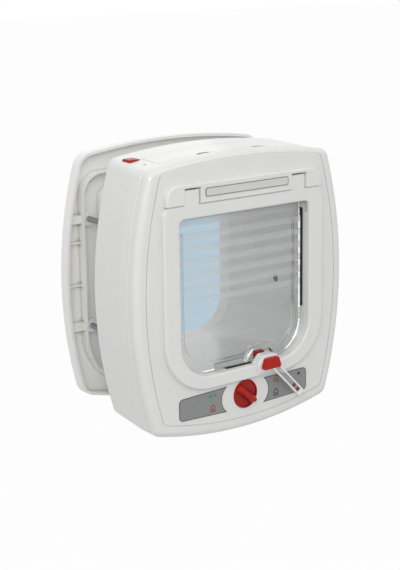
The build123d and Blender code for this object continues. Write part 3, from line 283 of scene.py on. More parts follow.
@dataclass(frozen=True)
class BandedPane:
    """Clear polycarbonate, injection moulded, with hazy bands and faint flow lines across it.

    The bands scatter a little light of their own, so what lies behind shows as soft paler stripes. Flow
    lines on a real pane are finer, and are drawn 2 mm apart here so that they can be seen.
    """

    name: str = "polycarbonate, moulded clear with hazy bands"
    colour: str = "#F6F8F8"
    period_mm: float = 11.4
    top_mm: float = 66.0
    low_mm: float = -17.0
    fade_mm: float = 14.0
    share: float = 0.5
    clear_pass: float = 0.97
    band_pass: float = 0.8
    clear_rough: float = 0.03
    band_rough: float = 0.2
    flow_long_mm: float = 90.0
    flow_mm: float = 2.0
    flow_loss: float = 0.05
    flow_from: float = 0.45
    flow_to: float = 0.75
    ior: float = 1.45

    def build(self) -> Material:
        """Make the material.

        Returns:
            The finished material.
        """
        material, tree, shader = start_material(
            self.name, {"Base Color": linear(self.colour), "IOR": self.ior})
        place = add_node(tree, "TexCoord").outputs["Object"]
        hazy = self.bands(tree, place)
        rough = add_node(tree, "MapRange", {"To Min": self.clear_rough, "To Max": self.band_rough},
                         {"Value": hazy})
        passed = add_node(tree, "MapRange", {"To Min": self.clear_pass, "To Max": self.band_pass},
                          {"Value": hazy})
        clear = add_node(tree, "Math", links={0: passed.outputs[0], 1: self.flow(tree, place)},
                         operation="SUBTRACT")
        tree.links.new(rough.outputs[0], shader.inputs["Roughness"])
        tree.links.new(clear.outputs[0], shader.inputs["Transmission Weight"])
        return material

    def bands(self, tree: NodeTree, place: NodeSocket) -> NodeSocket:
        """Draw the level bands, which fade out towards the foot of the pane.

        Args:
            tree: node tree of the material.
            place: coordinates on the piece.

        Returns:
            One in a hazy band, nought where the pane is clear.
        """
        height = add_node(tree, "SeparateXYZ", links={"Vector": place}).outputs["Z"]
        turns = add_node(tree, "Math", {1: -1 / (self.period_mm * MM), 2: self.top_mm / self.period_mm},
                         {0: height}, operation="MULTIPLY_ADD")
        part = add_node(tree, "Math", links={0: turns.outputs[0]}, operation="FRACT")
        band = add_node(tree, "Math", {1: self.share}, {0: part.outputs[0]}, operation="LESS_THAN")
        above = add_node(tree, "MapRange",
                         {"From Min": self.low_mm * MM, "From Max": (self.low_mm + self.fade_mm) * MM},
                         {"Value": height})
        below = add_node(tree, "Math", {1: self.top_mm * MM}, {0: height}, operation="LESS_THAN")
        zone = add_node(tree, "Math", links={0: above.outputs[0], 1: below.outputs[0]}, operation="MULTIPLY")
        return add_node(tree, "Math", links={0: band.outputs[0], 1: zone.outputs[0]},
                        operation="MULTIPLY").outputs[0]

    def flow(self, tree: NodeTree, place: NodeSocket) -> NodeSocket:
        """Draw the flow lines, long and level.

        Args:
            tree: node tree of the material.
            place: coordinates on the piece.

        Returns:
            The share of light that they take away.
        """
        long, fine = 1 / (self.flow_long_mm * MM), 1 / (self.flow_mm * MM)
        stretch = add_node(tree, "Mapping", {"Scale": (long, long, fine)}, {"Vector": place})
        streak = add_node(tree, "TexNoise", {"Scale": 1.0, "Detail": CLOUD_DETAIL},
                          {"Vector": stretch.outputs["Vector"]})
        return add_node(tree, "MapRange",
                        {"From Min": self.flow_from, "From Max": self.flow_to, "To Max": self.flow_loss},
                        {"Value": streak.outputs["Fac"]}).outputs[0]


@dataclass(frozen=True)
class Clear:
    """Clear moulding, as on a pointer or a lens, with a slightly wavy surface from its tool."""

    name: str
    colour: str = "#FBFCFC"
    roughness: float = 0.12
    ior: float = 1.49
    passes: float = 1.0
    wave_mm: float = 9.0
    wave_depth_mm: float = 0.02

    def build(self) -> Material:
        """Make the material.

        Returns:
            The finished material.
        """
        material, tree, shader = start_material(self.name, {
            "Base Color": linear(self.colour), "Roughness": self.roughness, "IOR": self.ior,
            "Transmission Weight": self.passes})
        place = add_node(tree, "TexCoord").outputs["Object"]
        wave = add_node(tree, "TexNoise", {"Scale": 1 / (self.wave_mm * MM), "Detail": GRAIN_DETAIL},
                        {"Vector": place})
        bump = add_node(tree, "Bump", {"Strength": GRAIN_STRENGTH, "Distance": self.wave_depth_mm * MM},
                        {"Height": wave.outputs["Fac"]})
        tree.links.new(bump.outputs["Normal"], shader.inputs["Normal"])
        return material


@dataclass(frozen=True)
class CellJacket:
    """Printed sleeve of a dry cell: a dark body with a bright band at its raised end."""

    name: str
    end_mm: float
    body: str = "#2E3136"
    band: str = "#B9823C"
    band_mm: float = 13.0
    roughness: float = 0.28
    spread: float = 0.08
    metallic: float = 0.35
    speck_mm: float = 0.7

    def build(self) -> Material:
        """Make the material.

        Returns:
            The finished material.
        """
        material, tree, shader = start_material(self.name, {"Metallic": self.metallic})
        place = add_node(tree, "TexCoord").outputs["Object"]
        axes = add_node(tree, "SeparateXYZ", links={"Vector": place})
        away = add_node(tree, "Math", {1: self.end_mm * MM}, {0: axes.outputs["X"]}, operation="SUBTRACT")
        far = add_node(tree, "Math", links={0: away.outputs[0]}, operation="ABSOLUTE")
        banded = add_node(tree, "Math", {1: self.band_mm * MM}, {0: far.outputs[0]}, operation="LESS_THAN")
        tint = add_node(tree, "Mix", {MIX_A: linear(self.body), MIX_B: linear(self.band)},
                        {MIX_SHARE: banded.outputs[0]}, data_type="RGBA")
        speck = add_node(tree, "TexNoise", {"Scale": 1 / (self.speck_mm * MM)}, {"Vector": place})
        rough = add_node(tree, "MapRange",
                         {"To Min": self.roughness - self.spread, "To Max": self.roughness + self.spread},
                         {"Value": speck.outputs["Fac"]})
        tree.links.new(tint.outputs[MIX_OUT], shader.inputs["Base Color"])
        tree.links.new(rough.outputs[0], shader.inputs["Roughness"])
        return material


# Satin ABS: bright neutral white with soft highlights, and painted shade that draws dark lines in its joints
# and slots
WHITE = Solid("ABS, moulded satin white", "#E8E8E7", "#E2E2E1", 0.2, ior=1.53, grain_mm=0.8, painted_shade_mm=2.2,
              painted_shade_shut=0.02, painted_shade_open=0.32, painted_shade_local=True)
# The cover's own edge lies in the shade of its finger notches
COVER_WHITE = Solid("ABS, moulded satin white, cover", "#E8E8E7", "#E2E2E1", 0.2, ior=1.53, grain_mm=0.8,
                    painted_shade_mm=12.0, painted_shade_shut=0.3, painted_shade_open=1.0)
# Same ABS as the white, painted paler to make up for the shade the outer frame sits in, with yellowish painted
# shade in its corners
PAINTED_PALE_WHITE = Solid("ABS, moulded satin white, painted light and shade", "#F3F3F1", "#EFEFEC", 0.36, ior=1.53, grain_mm=0.8, painted_shade_mm=5.0,
              painted_shade_tint="#A9A58A", painted_shade_open=0.75)
# Deep red ABS with a polished face: dark where it turns away, a small sharp highlight, and painted shade that
# darkens the dish of the knob beside its grip
RED = Solid("ABS, moulded gloss red", "#BC1B0A", "#AC1809", 0.25, ior=1.53, specular=0.2, grain_mm=1.6,
            grain_depth_mm=0.006, painted_shade_mm=14.0, painted_shade_tint="#2A0604", painted_shade_shut=0.45, painted_shade_open=1.0,
            painted_shade_local=True)
# Lighter red of a small push button, satin, with painted shade in its creases
BUTTON_RED = Solid("ABS, moulded satin red", "#A8281C", "#9A2218", 0.35, ior=1.53, specular=0.25, painted_shade_mm=1.5)
# Printed film: even mid grey, nearly matt, with the fine tooth of screen print
LABEL_GREY = Solid("polycarbonate film, screen printed grey", "#8B8E8D", "#848786", 0.42, drift_mm=12.0,
                   ior=1.58, grain_mm=0.5, grain_depth_mm=0.006)
# The same film under a darker ink, a thin outline
LABEL_EDGE = Solid("polycarbonate film, screen printed dark edge", "#3E4040", "#363838", 0.45, ior=1.58,
                   grain_mm=0.5)
# Silver ink under film: pale grey, a little cloudy, glossier than the labels
PLATE_FACE = Solid("polycarbonate film, screen printed silver", "#DCDCDB", "#CDCDCC", 0.3, drift_mm=18.0,
                   ior=1.58, grain_mm=0.4, grain_depth_mm=0.006)
# Mid grey outline of the plate
PLATE_EDGE = Solid("polycarbonate film, screen printed grey edge", "#6C6E6F", "#646667", 0.4, ior=1.58,
                   grain_mm=0.5)
# Screen inks: thin, flat and matt, with the speckle of the mesh
GREEN_INK = Solid("screen ink, green", "#2F8A63", "#3A9670", 0.5, drift_mm=1.5, grain_mm=0.3)
RED_INK = Solid("screen ink, red", "#93352C", "#A04338", 0.5, drift_mm=1.5, grain_mm=0.3)
MARK_INK = Solid("screen ink, dark red", "#6B2420", "#7A2E29", 0.5, drift_mm=1.5, grain_mm=0.3)
DARK_INK = Solid("screen ink, black", "#262727", "#303131", 0.5, drift_mm=1.5, grain_mm=0.3)
# Bright zinc on drawn steel: cold mottled grey, with painted shade between the turns of a thread
STEEL = Solid("steel, drawn and zinc plated", "#8E8F91", "#7C7D7F", 0.26, drift_mm=6.0, metallic=1.0,
              grain_mm=0.6, painted_shade_mm=2.0, painted_shade_tint="#2C2C2D", painted_shade_shut=0.35, painted_shade_open=0.95)
# Nickel on stamped strip: warmer and brighter than zinc
SPRING_STEEL = Solid("spring steel, stamped and nickel plated", "#C2BFB6", "#B4B1A8", 0.24, drift_mm=5.0,
                     metallic=1.0, grain_mm=0.5)
# Sintered ferrite: dull dark grey with a coarse tooth
FERRITE = Solid("ferrite, sintered", "#3A3B3E", "#2D2E31", 0.62, drift_mm=4.0, grain_mm=0.5,
                grain_depth_mm=0.04)
# Magnet cast into the clear flap, seen as a pale milky bar
CAST_MAGNET = Solid("ferrite in white epoxy, cast", "#F2F3F2", "#EAECEA", 0.4, drift_mm=8.0, grain_mm=0.7)
# Black foam strip: matt, open cells drawn 1.2 mm across so that they show
FOAM = Solid("rubber foam, black, cut in strips", "#121212", "#1D1D1D", 0.85, drift_mm=2.5, grain_mm=1.2,
             grain_depth_mm=0.15)
# Glossy black of a small switch: dark with sharp highlights
SMOKE = Solid("ABS, moulded gloss black", "#17181A", "#1E1F21", 0.16, ior=1.53, grain_mm=1.4)
# Infrared window: nearly black and dull, so that it stays dark at a low angle too
SENSOR = Solid("acrylic, moulded infrared black", "#0B0B0C", "#121214", 0.55, ior=1.49, specular=0.1)
# Enamelled wire side by side, turn on turn; real turns of 0.3 mm are drawn 0.8 mm wide
COIL = Solid("copper wire, enamelled and wound", "#B56A34", "#A65C2A", 0.3, metallic=1.0,
             lines=Lines(Axis.Y, 0.8, 0.25, "#4A2410"))
# Lacquered board: deep green under a clear coat, faint rows of tracks
BOARD = Solid("glass epoxy, green solder mask", "#1F5B37", "#1A4F2F", 0.34, drift_mm=5.0, coat=0.3,
              lines=Lines(Axis.X, 2.54, 0.03, "#174427"))
# Solenoid coil under varnished tape: amber, with the turns showing through
TAPED = Solid("polyester tape over a wound coil", "#8F6F2E", "#7E6126", 0.35,
              lines=Lines(Axis.Z, 1.6, 0.12, "#5E4718"))
# Plain inner mouldings: light grey, dull, with painted shade in their creases
GREY = Solid("ABS, moulded grey", "#A9ABAC", "#A0A2A3", 0.42, ior=1.53, painted_shade_mm=2.0)
PANE = BandedPane()
# Clear acrylic: colourless, with a soft sheen on its faces
ACRYLIC = Clear("acrylic, moulded clear", passes=0.9)
# Painted light: the rails and ends of the clear moulding are drawn nearly opaque and white, as light gathered
# in them shows
PAINTED_LIT_EDGE = Clear("acrylic, moulded clear, edges with painted light", roughness=0.2, passes=0.15)

NODE_FINISHES: tuple[tuple[Finish, tuple[str, ...]], ...] = (
    (WHITE, ("front_bezel", "rear_housing", "window_frame")),
    (COVER_WHITE, ("battery_cover",)),
    (PAINTED_PALE_WHITE, ("outer_frame",)),
    (RED, ("knob", "indicator_rocker", "latch_bar")),
    (BUTTON_RED, ("learn_button",)),
    (STEEL, ("hinge_rod", "clamp_screws", "housing_screws", "cam_screw")),
    (SPRING_STEEL, ("contact_plate", "contact_spring")),
    (FERRITE, ("frame_magnet",)),
    (CAST_MAGNET, ("flap_magnet",)),
    (FOAM, ("draught_strip_left", "draught_strip_right")),
    (SENSOR, ("sensor_window_left", "sensor_window_right")),
    (SMOKE, ("switch_body", "switch_plunger")),
    (COIL, ("antenna_coil",)),
    (BOARD, ("circuit_board",)),
    (TAPED, ("solenoid",)),
    (GREY, ("battery_tray", "lock_cam")),
    (LABEL_GREY, ("left_label", "right_label")),
    (PLATE_FACE, ("nameplate",)),
    (PANE, ("flap_panel",)),
    (ACRYLIC, ("indicator_pointer", "led_lens")),
)
CELLS = ("cell_low_left", "cell_low_right", "cell_top_left", "cell_top_right")


class Finishes:
    """Builds each finish once and hands it out."""

    def __init__(self) -> None:
        """Start with nothing built."""
        self._made: dict[str, Material] = {}

    def get(self, finish: Finish) -> Material:
        """Return the material of a finish, made on first use.

        Args:
            finish: the finish that is wanted.

        Returns:
            Its material, the same one every time.
        """
        if finish.name not in self._made:
            self._made[finish.name] = finish.build()
        return self._made[finish.name]

    def dress(self, piece: Object, *finishes: Finish) -> None:
        """Give a piece its materials, in slot order.

        Args:
            piece: object that is dressed.
            finishes: one or more finishes.
        """
        piece.data.materials.clear()
        for finish in finishes:
            piece.data.materials.append(self.get(finish))

    def dress_nodes(self) -> None:
        """Give every CAD node its finish, and each cell a jacket with the band at its raised end."""
        for finish, nodes in NODE_FINISHES:
            for node in nodes:
                self.dress(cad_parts[node], finish)
            LOG.info("%s on %s", finish.name, ", ".join(nodes))
        for cell in CELLS:
            low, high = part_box(cell)
            end = high[0] if "low" in cell else low[0]
            self.dress(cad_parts[cell], CellJacket("printed sleeve, " + cell, end / MM))


def deselect() -> None:
    """Leave object mode clean, with nothing selected."""
    if bpy.context.object and bpy.context.object.mode != "OBJECT":
        bpy.ops.object.mode_set(mode="OBJECT")
    bpy.ops.object.select_all(action="DESELECT")


def select_parts(obj: Object, kind: str, test: Callable[[Any], bool]) -> None:
    """Select the vertices or faces of an object that pass a test, and go into edit mode.

    Args:
        obj: mesh object, active.
        kind: VERT or FACE.
        test: says whether a vertex or face is wanted.
    """
    bpy.ops.object.mode_set(mode="EDIT")
    bpy.ops.mesh.select_mode(type=kind)
    bpy.ops.mesh.select_all(action="DESELECT")
    bpy.ops.object.mode_set(mode="OBJECT")
    for part in obj.data.vertices if kind == "VERT" else obj.data.polygons:
        part.select = test(part)
    bpy.ops.object.mode_set(mode="EDIT")


def join(shapes: list[Object], name: str) -> Object:
    """Join shapes into one piece whose origin is the frame's.

    Args:
        shapes: mesh objects.
        name: name of the piece.

    Returns:
        The joined piece, active and in object mode.
    """
    deselect()
    for shape in shapes:
        shape.select_set(True)
    bpy.context.view_layer.objects.active = shapes[0]
    if len(shapes) > 1:
        bpy.ops.object.join()
    piece = bpy.context.view_layer.objects.active
    bpy.ops.object.transform_apply(location=True, rotation=True, scale=True)
    piece.name = name
    return piece


def copy_mesh(source: Object, name: str, place_mm: tuple[float, float, float]) -> Object:
    """Copy an object with a mesh of its own.

    Args:
        source: object that is copied.
        name: name of the copy.
        place_mm: where the copy goes.

    Returns:
        The copy.
    """
    copy = bpy.data.objects.new(name, source.data.copy())
    copy.location = tuple(value * MM for value in place_mm)
    bpy.context.collection.objects.link(copy)
    return copy


def merge_points() -> None:
    """Merge the points of the active mesh that lie on each other, all of it left selected in edit mode."""
    bpy.ops.object.mode_set(mode="EDIT")
    bpy.ops.mesh.select_all(action="SELECT")
    bpy.ops.mesh.remove_doubles(threshold=MERGE_M)


def copy_node(node: str, name: str) -> Object:
    """Copy a CAD node with its own mesh, merged so that it can be reshaped.

    Args:
        node: name of the CAD node.
        name: name of the copy.

    Returns:
        The copy, active and in object mode.
    """
    deselect()
    piece = copy_mesh(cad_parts[node], name, (0, 0, 0))
    piece.select_set(True)
    bpy.context.view_layer.objects.active = piece
    bpy.ops.mesh.customdata_custom_splitnormals_clear()
    merge_points()
    bpy.ops.object.mode_set(mode="OBJECT")
    return piece


@dataclass
class PrintedPlate:
    """Thin printed plate with a darker line along its edge, made from the plate's CAD node."""

    node: str
    face: Solid
    edge: Solid
    slot: str
    border_mm: float = 0.6
    body: str = "housing"

    def build(self, finishes: Finishes) -> Object:
        """Inset the plate's front so that its edge can take a second colour.

        Args:
            finishes: where materials come from.

        Returns:
            The finished plate.
        """
        plate = copy_node(self.node, self.node + "_print")
        finishes.dress(plate, self.edge, self.face)
        select_parts(plate, "FACE", lambda face: face.normal.y < -FACING)
        bpy.ops.mesh.inset(thickness=self.border_mm * MM, depth=0.0)
        plate.active_material_index = 1
        bpy.ops.object.material_slot_assign()
        bpy.ops.object.mode_set(mode="OBJECT")
        bpy.ops.object.shade_flat()
        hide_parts(self.node)
        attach(plate, self.body)
        LOG.info("%s edged by %.1f mm", plate.name, self.border_mm)
        return plate


@dataclass
class Stencil:
    """Flat shapes one millimetre wide, facing the room, each modelled once and copied for every print."""

    thick_mm: float = 0.12
    line: float = 0.134
    wall: float = 0.8
    roof: float = 0.45
    ridge: float = 0.1
    outlines: tuple[tuple[Shape, int, float, float], ...] = (
        (Shape.ARROW, 3, 0.5, -90.0),
        (Shape.BLOCK, 4, SQUARE_RADIUS_MM, 45.0),
        (Shape.HOUSE, 4, SQUARE_RADIUS_MM, 45.0),
    )
    models: dict[Shape, Object] = field(default_factory=dict)

    def polygon(self, sides: int, radius: float, turn_deg: float) -> Object:
        """Add a flat polygon facing the room, left in edit mode with all of it selected.

        Args:
            sides: number of corners.
            radius: distance from centre to corner, in millimetres.
            turn_deg: turn in the label's plane.

        Returns:
            The polygon.
        """
        deselect()
        bpy.ops.mesh.primitive_circle_add(vertices=sides, radius=radius * MM, fill_type="NGON",
                                          rotation=(math.pi / 2, math.radians(-turn_deg), 0))
        bpy.ops.object.transform_apply(location=True, rotation=True, scale=True)
        bpy.ops.object.mode_set(mode="EDIT")
        bpy.ops.mesh.select_all(action="SELECT")
        return bpy.context.object

    def peak(self, shape: Object) -> None:
        """Turn the square in edit mode into the outline of a house with a peaked roof.

        Args:
            shape: the square.
        """
        bpy.ops.transform.resize(value=(1, 1, self.wall), center_override=(0, 0, 0))
        select_parts(shape, "VERT", lambda vertex: vertex.co.z > 0)
        bpy.ops.mesh.subdivide(number_cuts=1)
        select_parts(shape, "VERT", lambda vertex: abs(vertex.co.x) < self.ridge * MM and vertex.co.z > 0)
        bpy.ops.transform.translate(value=(0, 0, self.roof * MM))
        bpy.ops.mesh.select_mode(type="FACE")
        bpy.ops.mesh.select_all(action="SELECT")
        bpy.ops.mesh.inset(thickness=self.line * MM, depth=0)
        bpy.ops.mesh.delete(type="FACE")

    def build(self) -> None:
        """Model every shape and give it the thickness of the ink."""
        for shape, sides, radius, turn_deg in self.outlines:
            model = self.polygon(sides, radius, turn_deg)
            if shape is Shape.HOUSE:
                self.peak(model)
            bpy.ops.mesh.select_all(action="SELECT")
            bpy.ops.mesh.extrude_region_move(TRANSFORM_OT_translate={"value": (0, -self.thick_mm * MM, 0)})
            bpy.ops.mesh.select_all(action="SELECT")
            bpy.ops.mesh.normals_make_consistent(inside=False)
            bpy.ops.object.mode_set(mode="OBJECT")
            self.models[shape] = model

    def clear(self) -> None:
        """Take the models away once every print is made."""
        for model in self.models.values():
            bpy.data.objects.remove(model)


@dataclass
class Print:
    """Thin layer of ink on a flat face, put together from copies of the stencil's shapes."""

    name: str
    ink: Solid
    stencil: Stencil
    surface_y_mm: float
    body: str = "housing"
    slot: str = "label_plastic"
    shapes: list[Object] = field(default_factory=list)

    def add(self, shape: Shape, x_mm: float, z_mm: float, size_mm: float, turn_deg: float = 0.0) -> None:
        """Add one shape.

        Args:
            shape: which shape.
            x_mm: its middle, along X.
            z_mm: its middle, along Z.
            size_mm: its width.
            turn_deg: turn in the plane, seen from the room.
        """
        copy = copy_mesh(self.stencil.models[shape], shape.value, (x_mm, self.surface_y_mm, z_mm))
        copy.rotation_euler = (0, math.radians(-turn_deg), 0)
        copy.scale = (size_mm, 1, size_mm)
        self.shapes.append(copy)

    def finish(self, finishes: Finishes) -> None:
        """Join the shapes into one print and let it ride.

        Args:
            finishes: where materials come from.
        """
        piece = join(self.shapes, self.name)
        finishes.dress(piece, self.ink)
        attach(piece, self.body)
        LOG.info("print %s", self.name)


@dataclass
class LabelPrints:
    """Plain pictograms on the two labels beside the knob."""

    surface_y_mm: float = -66.4
    left_x_mm: float = -36.5
    right_x_mm: float = 35.0
    side_x_mm: float = 62.0
    upper_z_mm: float = -88.6
    lower_z_mm: float = -101.2
    size_mm: float = 5.6
    pair_mm: float = 2.3
    pair_share: float = 0.75
    lock_share: float = 0.36
    way_share: float = 0.5
    side_share: float = 0.8
    side_up_mm: float = 0.5

    def build(self, finishes: Finishes, stencil: Stencil) -> None:
        """Make every print.

        Args:
            finishes: where materials come from.
            stencil: where shapes come from.
        """
        left, right, upper, lower = self.left_x_mm, self.right_x_mm, self.upper_z_mm, self.lower_z_mm
        size, pair, way = self.size_mm, self.size_mm * self.pair_share, self.size_mm * self.way_share
        prints = (
            ("print_both_ways", GREEN_INK, ((Shape.ARROW, left - self.pair_mm, upper, pair, Way.LEFT),
                                            (Shape.ARROW, left + self.pair_mm, upper, pair, Way.RIGHT))),
            ("print_closed", RED_INK, ((Shape.HOUSE, left, lower, size, Way.RIGHT),
                                       (Shape.BLOCK, left, lower, size * self.lock_share, Way.RIGHT))),
            ("print_inward", RED_INK, ((Shape.HOUSE, right, upper, size, Way.RIGHT),
                                       (Shape.ARROW, right, upper, way, Way.LEFT))),
            ("print_outward", DARK_INK, ((Shape.HOUSE, right, lower, size, Way.RIGHT),
                                         (Shape.ARROW, right, lower, way, Way.RIGHT))),
            ("print_side", DARK_INK, ((Shape.ARROW, self.side_x_mm, upper + self.side_up_mm,
                                       size * self.side_share, Way.RIGHT),)),
        )
        for name, ink, shapes in prints:
            made = Print(name, ink, stencil, self.surface_y_mm)
            for shape, x_mm, z_mm, size_mm, turn in shapes:
                made.add(shape, x_mm, z_mm, size_mm, turn.value)
            made.finish(finishes)


@dataclass
class Pointer:
    """Clear pointer whose rails show white with painted light, with red marks printed in the hollow near its
    tip.
    """

    axis_x_mm: float = 23.0
    axis_z_mm: float = -68.0
    angle_deg: float = -46.0
    places_mm: tuple[float, ...] = (36.5, 42.6)
    surface_y_mm: float = -75.6
    size_mm: float = 3.4
    round_mm: float = 0.2
    round_steps: int = 2
    floor_gap_mm: float = 0.1
    steep: float = 0.5
    smooth_deg: float = 40.0

    def build(self, finishes: Finishes, stencil: Stencil) -> None:
        """Make the pointer and its marks, and let them ride on the indicator.

        Args:
            finishes: where materials come from.
            stencil: where shapes come from.
        """
        pointer = copy_node("indicator_pointer", "pointer_clear")
        finishes.dress(pointer, ACRYLIC, PAINTED_LIT_EDGE)
        rails_y = (self.surface_y_mm - self.floor_gap_mm) * MM
        select_parts(pointer, "FACE", lambda face: face.center.y < rails_y or abs(face.normal.y) < self.steep)
        pointer.active_material_index = 1
        bpy.ops.object.material_slot_assign()
        bpy.ops.mesh.select_all(action="SELECT")
        bpy.ops.mesh.bevel(offset=self.round_mm * MM, segments=self.round_steps, affect="EDGES")
        bpy.ops.object.mode_set(mode="OBJECT")
        bpy.ops.object.shade_smooth_by_angle(angle=math.radians(self.smooth_deg))
        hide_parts("indicator_pointer")
        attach(pointer, "indicator")
        LOG.info("%s with painted light on its rails", pointer.name)
        marks = Print("pointer_marks", MARK_INK, stencil, self.surface_y_mm, "indicator", "red_plastic")
        turn = math.radians(self.angle_deg)
        for along in self.places_mm:
            marks.add(Shape.BLOCK, self.axis_x_mm + along * math.cos(turn),
                      self.axis_z_mm + along * math.sin(turn), self.size_mm, self.angle_deg)
        marks.finish(finishes)


@dataclass
class CoverNotches:
    """Finger notches in the front edge of the battery cover, where a nail lifts it."""

    middles_mm: tuple[float, ...] = (-30.0, 30.0)
    front_y_mm: float = -48.6
    radius_mm: float = 10.0
    deep_mm: float = 3.2
    middle_z_mm: float = 116.0
    tall_mm: float = 20.0
    sides: int = 64
    smooth_deg: float = 30.0

    def build(self, finishes: Finishes) -> None:
        """Cut both notches into a copy of the cover, in place of its CAD node.

        Args:
            finishes: where materials come from.
        """
        deselect()
        middle_y = self.front_y_mm + self.deep_mm - self.radius_mm
        bpy.ops.mesh.primitive_cylinder_add(vertices=self.sides, radius=self.radius_mm * MM,
                                            depth=self.tall_mm * MM,
                                            location=(0, middle_y * MM, self.middle_z_mm * MM))
        cutter = bpy.context.object
        cover = copy_node("battery_cover", "battery_cover_notched")
        for x_mm in self.middles_mm:
            cutter.location.x = x_mm * MM
            bpy.context.view_layer.update()
            cut = cover.modifiers.new("notch", "BOOLEAN")
            cut.operation = "DIFFERENCE"
            cut.object = cutter
            bpy.ops.object.modifier_apply(modifier=cut.name)
        bpy.data.objects.remove(cutter)
        bpy.ops.object.shade_smooth_by_angle(angle=math.radians(self.smooth_deg))
        finishes.dress(cover, COVER_WHITE)
        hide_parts("battery_cover")
        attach(cover, "cover")
        LOG.info("%s: %d notches", cover.name, len(self.middles_mm))


@dataclass
class DraughtStrips:
    """Soft foam strips with rounded edges on the tunnel walls beside the flap."""

    sides: tuple[tuple[str, float], ...] = (("draught_strip_left", -1.0), ("draught_strip_right", 1.0))
    inner_x_mm: float = 69.4
    outer_x_mm: float = 71.0
    front_y_mm: float = -61.2
    rear_y_mm: float = -55.2
    low_z_mm: float = -27.5
    top_z_mm: float = 61.5
    round_mm: float = 0.5
    round_steps: int = 3
    smooth_deg: float = 40.0

    def model(self) -> Object:
        """Model one strip in the middle plane.

        Returns:
            The strip.
        """
        deselect()
        place = (0, (self.front_y_mm + self.rear_y_mm) / 2 * MM, (self.low_z_mm + self.top_z_mm) / 2 * MM)
        size = ((self.outer_x_mm - self.inner_x_mm) * MM, (self.rear_y_mm - self.front_y_mm) * MM,
                (self.top_z_mm - self.low_z_mm) * MM)
        bpy.ops.mesh.primitive_cube_add(size=1.0, location=place, scale=size)
        bpy.ops.object.transform_apply(location=True, rotation=True, scale=True)
        strip = bpy.context.object
        select_parts(strip, "FACE", lambda face: abs(face.normal.x) > FACING)
        bpy.ops.mesh.bevel(offset=self.round_mm * MM, segments=self.round_steps, affect="EDGES")
        bpy.ops.object.mode_set(mode="OBJECT")
        bpy.ops.object.shade_smooth_by_angle(angle=math.radians(self.smooth_deg))
        return strip

    def build(self, finishes: Finishes) -> None:
        """Copy the strip to both walls, in place of the CAD nodes.

        Args:
            finishes: where materials come from.
        """
        first = self.model()
        middle = (self.inner_x_mm + self.outer_x_mm) / 2
        for node, side in self.sides:
            strip = join([copy_mesh(first, node, (side * middle, 0, 0))], node + "_foam")
            finishes.dress(strip, FOAM)
            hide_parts(node)
            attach(strip, "housing")
            LOG.info("%s", strip.name)
        bpy.data.objects.remove(first)


@dataclass
class ClampThreads:
    """Rolled thread on the long clamp screws, where they cross the gap for the door.

    A real thread of this size has a pitch of 0.7 mm; it is drawn coarser so that it can be seen.
    """

    points_mm: tuple[tuple[float, float], ...] = ((-90.5, 58.0), (90.5, 58.0), (-90.5, -38.0), (90.5, -38.0))
    root_mm: float = 1.7
    crest_mm: float = 2.5
    pitch_mm: float = 2.5
    from_y_mm: float = 0.5
    turns: int = 14
    steps: int = 18
    foot: float = 0.4
    smooth_deg: float = 35.0

    def ridge(self) -> Object:
        """Model one helical ridge along Y, round the origin.

        Returns:
            The ridge, a closed mesh.
        """
        deselect()
        half = self.pitch_mm * self.foot
        places = ((self.root_mm, -half), (self.crest_mm, 0.0), (self.root_mm, half))
        bpy.ops.mesh.primitive_circle_add(vertices=len(places), radius=half * MM, fill_type="NOTHING",
                                          location=(0, 0, 0))
        profile = bpy.context.object
        for vertex, (out, along) in zip(profile.data.vertices, places):
            vertex.co = (out * MM, (self.from_y_mm + along + self.pitch_mm / 2) * MM, 0)
        screw = profile.modifiers.new("thread", "SCREW")
        screw.axis = "Y"
        screw.screw_offset = self.pitch_mm * MM
        screw.iterations = self.turns
        screw.steps = screw.render_steps = self.steps
        bpy.ops.object.modifier_apply(modifier=screw.name)
        merge_points()
        bpy.ops.mesh.fill_holes(sides=len(places))
        bpy.ops.mesh.select_all(action="SELECT")
        bpy.ops.mesh.normals_make_consistent(inside=False)
        bpy.ops.object.mode_set(mode="OBJECT")
        bpy.ops.object.shade_smooth_by_angle(angle=math.radians(self.smooth_deg))
        return profile

    def build(self, finishes: Finishes) -> None:
        """Copy the ridge to every screw and let it ride with the housing.

        Args:
            finishes: where materials come from.
        """
        first = self.ridge()
        ridges = [copy_mesh(first, "thread", (x_mm, 0, z_mm)) for x_mm, z_mm in self.points_mm]
        bpy.data.objects.remove(first)
        threads = join(ridges, "clamp_threads")
        finishes.dress(threads, STEEL)
        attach(threads, "housing")
        LOG.info("%s: %d turns on each screw", threads.name, self.turns)


